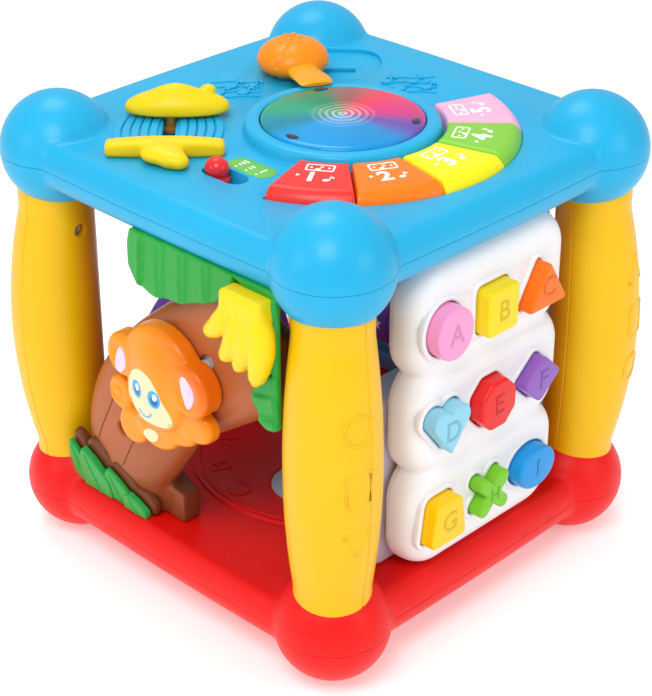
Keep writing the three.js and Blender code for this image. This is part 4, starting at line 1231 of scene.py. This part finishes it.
def monkey():
    solid = field_solid(monkey_field, (-42, 116, -0.9), (58, 211, 19.5), 1.3)
    # The orange turns red-orange towards the lower right edges: partly the toy's own red-orange, partly painted
    # shade.
    orange = plastic("monkey_orange", (246, 146, 8), rough=0.3, coat=0.1,
                     second=((226, 60, 10), (-0.3, -0.72, 0.62), 160, 222))
    out = TREE + ON_TREE
    piece(make("monkey_body", on_side(solid, -1, out), 50), orange, "monkey_slider", ["monkey"])
    cream = plastic("monkey_cream", (254, 222, 178), rough=0.34, coat=0.15, vary=0.02)
    lilac = plastic("monkey_lilac", (246, 208, 238), rough=0.4, vary=0.02)
    sky = plastic("monkey_eye", (40, 172, 232), rough=0.3, coat=0.3)

    def skin(outline, lift=0.12):
        return on_side(decal(outline, monkey_field, 19, lift, low=0.3), -1, out)

    face = rounded([(-15.5, 157), (-14.5, 168), (-9.5, 176.5), (-1, 180.5), (8, 178.5), (13, 172), (17, 164),
                    (21.5, 158), (24.6, 151.5), (20, 146.5), (12, 144.2), (0, 143.4), (-9, 145), (-14.5, 149.5)], 5)
    belly = oval(7.4, 4.4, (-1, 131.5), 40, 24)
    piece(make("monkey_face", together(skin(face), skin(belly)), 60), cream, "monkey_slider")
    ears = [skin(oval(5, 8.6, (LEFT_EAR[0] + 0.2, LEFT_EAR[1] - 3), 36, -8)),
            skin(oval(5, 10.6, (RIGHT_EAR[0], RIGHT_EAR[1] + 0.4), 36, 8))]
    piece(make("monkey_ears", together(*ears), 60), lilac, "monkey_slider")
    eyes = [(-5.6, 164.6), (10.8, 164)]
    piece(make("monkey_eyes", together(*[skin(oval(5.0, 6.0, e, 32), 0.24) for e in eyes]), 60), sky,
          "monkey_slider")
    pupils = [skin(oval(2.9, 3.7, (e[0] + 0.4, e[1] - 0.4), 24), 0.34) for e in eyes]
    piece(make("monkey_pupils", together(*pupils), 60), plastic("monkey_pupil", (16, 96, 168), rough=0.3, coat=0.3),
          "monkey_slider")
    # White spots on the eyes: painted highlights.
    glints = [skin(oval(1.9, 2.3, (e[0] + 1.0, e[1] + 1.8), 24), 0.44) for e in eyes]
    piece(make("monkey_glints", together(*glints), 60), PRINT_AND_GLINT, "monkey_slider")
    flat = smooth_path([(-5.4, 150.6), (-3.4, 148), (0, 147), (4, 148.6), (6.4, 152)], 18)
    z = surface_height(monkey_field, flat[:, 0], flat[:, 1], 19, 0.3)
    smile = tube(np.column_stack([flat, z + 0.05]), 0.55, 8)
    piece(make("monkey_smile", on_side(smile, -1, out), 60), sky, "monkey_slider")


def bananas():
    rows = [((74, 250), -14, 31, 7.6), ((81, 249), 3, 37, 8), ((88, 249), 10, 38, 8), ((94, 250), 22, 41, 8.6)]
    chains = []
    for (x, y), tilt, length, r in rows:
        a, b, d = np.array([(0, 0, 0), (-0.02 * length, -0.6 * length, 3), (-0.5 * length, -length, 0)])
        c, s = math.cos(math.radians(tilt)), math.sin(math.radians(tilt))
        turn = np.array([[c, s, 0], [-s, c, 0], [0, 0, 1]])
        line = np.array([(1 - t) ** 2 * a + 2 * t * (1 - t) * b + t * t * d for t in np.linspace(0, 0.97, 9)])
        radii = r * np.interp(np.linspace(0, 1, 9), [0, 0.2, 0.5, 0.85, 1], [0.66, 0.9, 0.95, 0.72, 0.36])
        chains.append((line @ turn + (x, y, 8.5), radii))

    def field(p):
        shape = None
        for line, radii in chains:
            one = chain(p, line, radii)
            shape = one if shape is None else smooth_min(shape, one, 1.2)
        q = np.abs(p - (84, 252.3, 7.6)) - (13.6, 3.2, 4.0)
        crown = np.linalg.norm(np.maximum(q, 0), axis=-1) + np.minimum(q.max(-1), 0) - 3.2
        return smooth_max(smooth_min(shape, crown, 3), 0.2 - p[..., 2], 0.5)

    solid = field_solid(field, (44, 198, -1), (112, 262, 21), 1.2)
    # The yellow deepens slightly towards the lower right and back: painted shade.
    yellow = plastic("banana_yellow", (242, 210, 12), rough=0.34, coat=0.06,
                     second=((240, 196, 10), (0.6, -0.6, -0.5), -50, 40))
    piece(make("banana_hand", on_side(solid, -1, TREE + ON_TREE), 50), yellow,
          nodes=["banana_bunch"])


def leaf(name, outline, ribs, folds, thick, node):
    """Leaf with raised ribs and overlapping folds. Each rib is (start, end); folds = (direction, pitch, start)."""
    edge = rounded(outline, 3)
    (fx, fy), pitch, start = folds

    def field(p):
        x, y, z = p[..., 0], p[..., 1], p[..., 2]
        flat = outline_distance(x, y, edge)
        step = ((fx * x + fy * y - start) / pitch) % 1
        top = thick - 2.6 + 1.7 * np.minimum(1, 7 * step) * (1 - 0.8 * step)
        for a, b in ribs:
            a, b = np.array(a, float), np.array(b, float)
            t = share_along(p[..., :2], a, b)
            away = np.hypot(x - a[0] - t * (b - a)[0], y - a[1] - t * (b - a)[1])
            top = top + 1.3 * np.exp(-(away / 1.2) ** 2)
        return smooth_max(smooth_max(flat, z - top, 1.4), 0.15 - z, 0.3)

    xs, ys = zip(*edge)
    solid = field_solid(field, (min(xs) - 1.5, min(ys) - 1.5, -1), (max(xs) + 1.5, max(ys) + 1.5, thick + 2.4), 0.95)
    green = plastic("leaf_green", (34, 158, 58), rough=0.4, coat=0.1, vary=0.08, grain=0.05)
    piece(make(name, on_side(solid, -1, TREE + ON_TREE), 40), green, nodes=[node])


def grass():
    """Four blades that lean back against dark root steps."""
    green = plastic("grass_green", (44, 164, 70), rough=0.42, coat=0.08, vary=0.08, grain=0.05)
    lean = math.radians(14)

    def leaning(solid):
        x, y, z = np.array(solid[0]).T
        return np.column_stack([x, FLOOR + np.maximum(y * math.cos(lean) - z * math.sin(lean), 0.3),
                                9 + y * math.sin(lean) + z * math.cos(lean)]), solid[1]

    blades, backs = [], []
    for i, (x, high, half) in enumerate(((-90, 37, 9), (-74, 37, 14), (-54, 28, 13), (-37, 16, 11))):
        outline = rounded([(x - half, 0), (x + half, 0), (x + half * 1.05, high * 0.42), (x + half * 0.3, high * 0.8),
                           (x - half * 0.35, high), (x - half * 0.95, high * 0.6)], 2.4)
        high_by = 1.5 * (i % 2) + 0.2 * i
        blades.append(leaning(plate([outline], 0.25 * i, 4.0 + high_by, 1.3, 3)))
        rib = bar((x + half * 0.2, 2), (x - half * 0.25, high * 0.84), 0.7)
        blades.append(leaning(plate([rib], 3.6 + high_by, 4.6 + high_by, 0.3, 1)))
        lump = rounded([(x - half * 0.3, 0), (x + half * 1.25, 0), (x + half * 1.45, high * 0.62),
                        (x + half * 0.9, high * 1.02), (x + half * 0.1, high * 1.2), (x - half * 0.5, high)], 4)
        backs.append(leaning(plate([lump], -7 + 0.2 * i, -0.6 + 0.2 * i, 2, 3)))
    piece(make("grass_blades", on_side(together(*blades), -1, TREE)), green, nodes=["grass"])
    brown = plastic("root_brown", (112, 56, 28), rough=0.42, coat=0.08, vary=0.1)
    piece(make("root_steps", on_side(together(*backs), -1, TREE)), brown)


# Far sides

def star(x, y, r, points=5, tilt=90.0):
    return [(x + (r if i % 2 == 0 else 0.45 * r) * math.cos(math.radians(tilt + 180 * i / points)),
             y + (r if i % 2 == 0 else 0.45 * r) * math.sin(math.radians(tilt + 180 * i / points)))
            for i in range(2 * points)]


def rollers():
    low, high = from_side("roller_frame", 1)
    middle, half = (low + high) / 2, (high - low) / 2
    slate = plastic("frame_slate", (84, 122, 164), rough=0.36, coat=0.1, vary=0.04)
    window = round_rect(66, 61, 8, (middle[0], FLOOR + 75))[::-1]
    body = plate([round_rect(half[0], half[1], 12, middle[:2]), window], low[2], high[2], 2.4, 4)
    piece(make("roller_cradle", on_side(body, 1)), slate, nodes=["roller_frame"])
    tones = {"roller_1": ((104, 66, 160), "roller_low", "roller_purple"),
             "roller_2": ((242, 130, 30), "roller_high", "roller_orange")}
    for node, (colour, body_name, slot) in tones.items():
        low, high = from_side(node, 1)
        middle, radius = (low + high) / 2, (high[1] - low[1]) / 2
        half = 64.6
        profile = [(4, -71.4), (4, -half), (radius - 5, -half), (radius - 2, -half + 0.9), (radius, -half + 3.2)]
        grooves = []
        for g in np.linspace(-40, 40, 5):
            grooves += [(radius, g - 1.6), (radius - 1.1, g - 0.8), (radius - 1.1, g + 0.8), (radius, g + 1.6)]
        profile = profile + grooves + [(r, -z) for r, z in profile[::-1]]
        points, faces = lathe(profile, steps=72)
        points = np.column_stack([points[:, 2] + middle[0], points[:, 1] + middle[1], points[:, 0] + middle[2]])
        piece(make(f"{node}_barrel", on_side((points, faces), 1)),
              plastic(f"{node}_plastic", colour, rough=0.3, coat=0.2, soft=0.04), body_name, [node])
        prints = []
        for k, g in enumerate(np.linspace(-50, 50, 6)):
            for turn in range(6):
                angle = math.radians(60 * turn + 30 * (k % 2))
                outline = star(0, 0, 5.0) if k % 2 else oval(3.8, 3.8, steps=24)
                flat = np.array(outline)
                bend = angle + flat[:, 1] / radius
                skin = []
                for q, lift in ((1, -0.4), (1, 0.15), (0.5, 0.15), (0.02, 0.15)):
                    at = angle + (bend - angle) * q
                    skin.append(middle + np.column_stack([flat[:, 0] * q + g, (radius + lift) * np.cos(at),
                                                          (radius + lift) * np.sin(at)]))
                prints.append(loft(skin))
        piece(make(f"{node}_print", on_side(together(*prints), 1), 60), PRINT_AND_GLINT, body_name)
    low, high = from_side("roller_crown", 1)
    lime = plastic("crown_lime", (146, 204, 52), rough=0.36, coat=0.1, vary=0.06)
    outline = rounded([(-84, 208), (-76, 196), (68, 196), (78, 206), (62, 244), (24, 258), (-30, 258),
                       (-68, 246)], 14)
    crown = [plate([outline], low[2] + 0.6, high[2] - 1.4, 3, 4)]
    for x0, x1 in ((-52, -66), (-26, -34), (0, 0), (26, 34), (52, 64)):
        crown.append(plate([strip([(x0 * 0.55, 202), (x0, 222), (x1, 241 - 0.12 * abs(x1))], 1.6)], high[2] - 3.4,
                           high[2], 0.8, 2))
    piece(make("roller_crown_leaf", on_side(together(*crown), 1)), lime, nodes=["roller_crown"])


def dome_side():
    purple = plastic("dome_purple", (104, 64, 158), rough=0.34, coat=0.12, vary=0.05, soft=0.04)
    low, high = from_side("dome_front", 2)
    cx, rx, ry = (low[0] + high[0]) / 2, (high[0] - low[0]) / 2, high[1] - low[1]

    def dome_outline(inset):
        return [(cx + (rx - inset) * x, low[1] + inset * 0.2 + (ry - inset) * y) for x, y in arc(1, 0, 180, 60)]

    solid = plate([dome_outline(0)], low[2], high[2], 4, 5)
    made = make("dome_shell_front", on_side(solid, 2))
    hole = plate([circle(5.6, 36, (cx, FLOOR + 46))], 100, 170, 0.01, 0)
    piece(cut_away(made, on_side(hole, 2)), purple, nodes=["dome_front"])
    rlow, rhigh = from_side("dome_rear", 2)
    piece(make("dome_shell_rear", on_side(plate([dome_outline(0)], rlow[2], rhigh[2], 1.8, 3), 2)), purple,
          nodes=["dome_rear"])
    arch, arch_in = [[(cx + (rx - 13 - inset) * x, low[1] + 8 + (ry - 20 - inset) * y)
                      for x, y in arc(1, 0, 180, 50)] for inset in (0, 2.4)]
    stars = [star(cx + dx, FLOOR + up, 5) for up, dx in ((40, -46), (40, 46), (70, -30), (70, 30))]
    prints = [plate([o], high[2] - 0.4, high[2] + 0.1, 0.04, 0) for o in [arch + arch_in[::-1]] + stars]
    piece(make("dome_print", on_side(together(*prints), 2), 60), PRINT_AND_GLINT)
    wlow, whigh = from_side("wheel", 2)
    wx, wy = (wlow[0] + whigh[0]) / 2, (wlow[1] + whigh[1]) / 2
    rim = [(wx + (31 + 2.9 * math.cos(8 * a)) * math.cos(a), wy + (31 + 2.9 * math.cos(8 * a)) * math.sin(a))
           for a in np.linspace(0, 2 * math.pi, 145)[:-1]]
    holes = [arc(5, 360, 0, 28, (wx + 18 * math.cos(a), wy + 18 * math.sin(a)))[:-1]
             for a in np.radians(np.arange(0, 360, 60))]
    face = plate([rim] + holes, whigh[2] - 8.3, whigh[2], 1.8, 4)
    nut = lathe([(5, 5), (5, 17), (8.6, 17.6), (9.4, 25), (8.6, 26.6), (6.4, 27.6), (0, 28)], steps=48)
    scaled = np.array(nut[0]) * (1, 1, (whigh[2] - 119) / 28.0)
    hub = (scaled + (wx, wy, 119), nut[1])
    piece(make("wheel_face", on_side(face, 2)), plastic("wheel_orange", (244, 132, 30), rough=0.3, coat=0.2),
          "wheel_turn", ["wheel"])
    piece(make("wheel_hub", on_side(hub, 2)), plastic("hub_yellow", (252, 214, 20), rough=0.3, coat=0.2),
          "wheel_turn")


# Carried-over CAD nodes

def inner_nodes():
    finishes = {"spinner_clip": CARRIER, "lever_arm": CARRIER, "monkey_carriage": CARRIER, "main_board": BOARD,
                "switch_board": BOARD, "speaker": DARK}
    for i in (1, 2, 3):
        finishes[f"cell_{i}"] = plastic("cell_blue", (60, 124, 176), rough=0.3, coat=0.3, vary=0.05)
    for node, material in finishes.items():
        skin = frame["nodes"][node]
        skin.data.materials.clear()
        skin.data.materials.append(material)


studio()
top_unit()
base_unit()
for corner, (side_x, side_y) in CORNERS.items():
    leg(corner, side_x, side_y)
keys()
spinner()
microphone()
cymbals()
volume()
staves()
letter_side()
housing()
trunk()
monkey()
bananas()
leaf("leaf_top_blade", [(-22, 253), (-22, 238), (-14, 228), (0, 224.4), (12, 227), (26, 228.6), (38, 234), (50, 238),
                         (61, 245), (68, 252), (70, 263.4), (-19, 263.4)],
     [((-10, 256), (-12, 230)), ((5, 258), (4, 227)), ((25, 259), (24, 231)), ((45, 259), (45, 240))],
     ((-1, 0.1), 19.5, -26), 6.2, "leaf_top")
leaf("leaf_side_blade", [(103, 263.4), (66, 263.4), (84, 254), (92, 243), (95, 226), (90, 217), (93, 207),
                          (83, 199), (81.5, 188), (86, 184), (86.5, 177), (94, 172.5), (103, 175)],
     [((100.5, 258), (100.5, 176)), ((100, 214), (91, 211)), ((100, 196), (86, 192)), ((100, 183), (89, 180))],
     ((0.12, -1), 15.5, -231), 5.6, "leaf_side")
grass()
rollers()
dome_side()
inner_nodes()
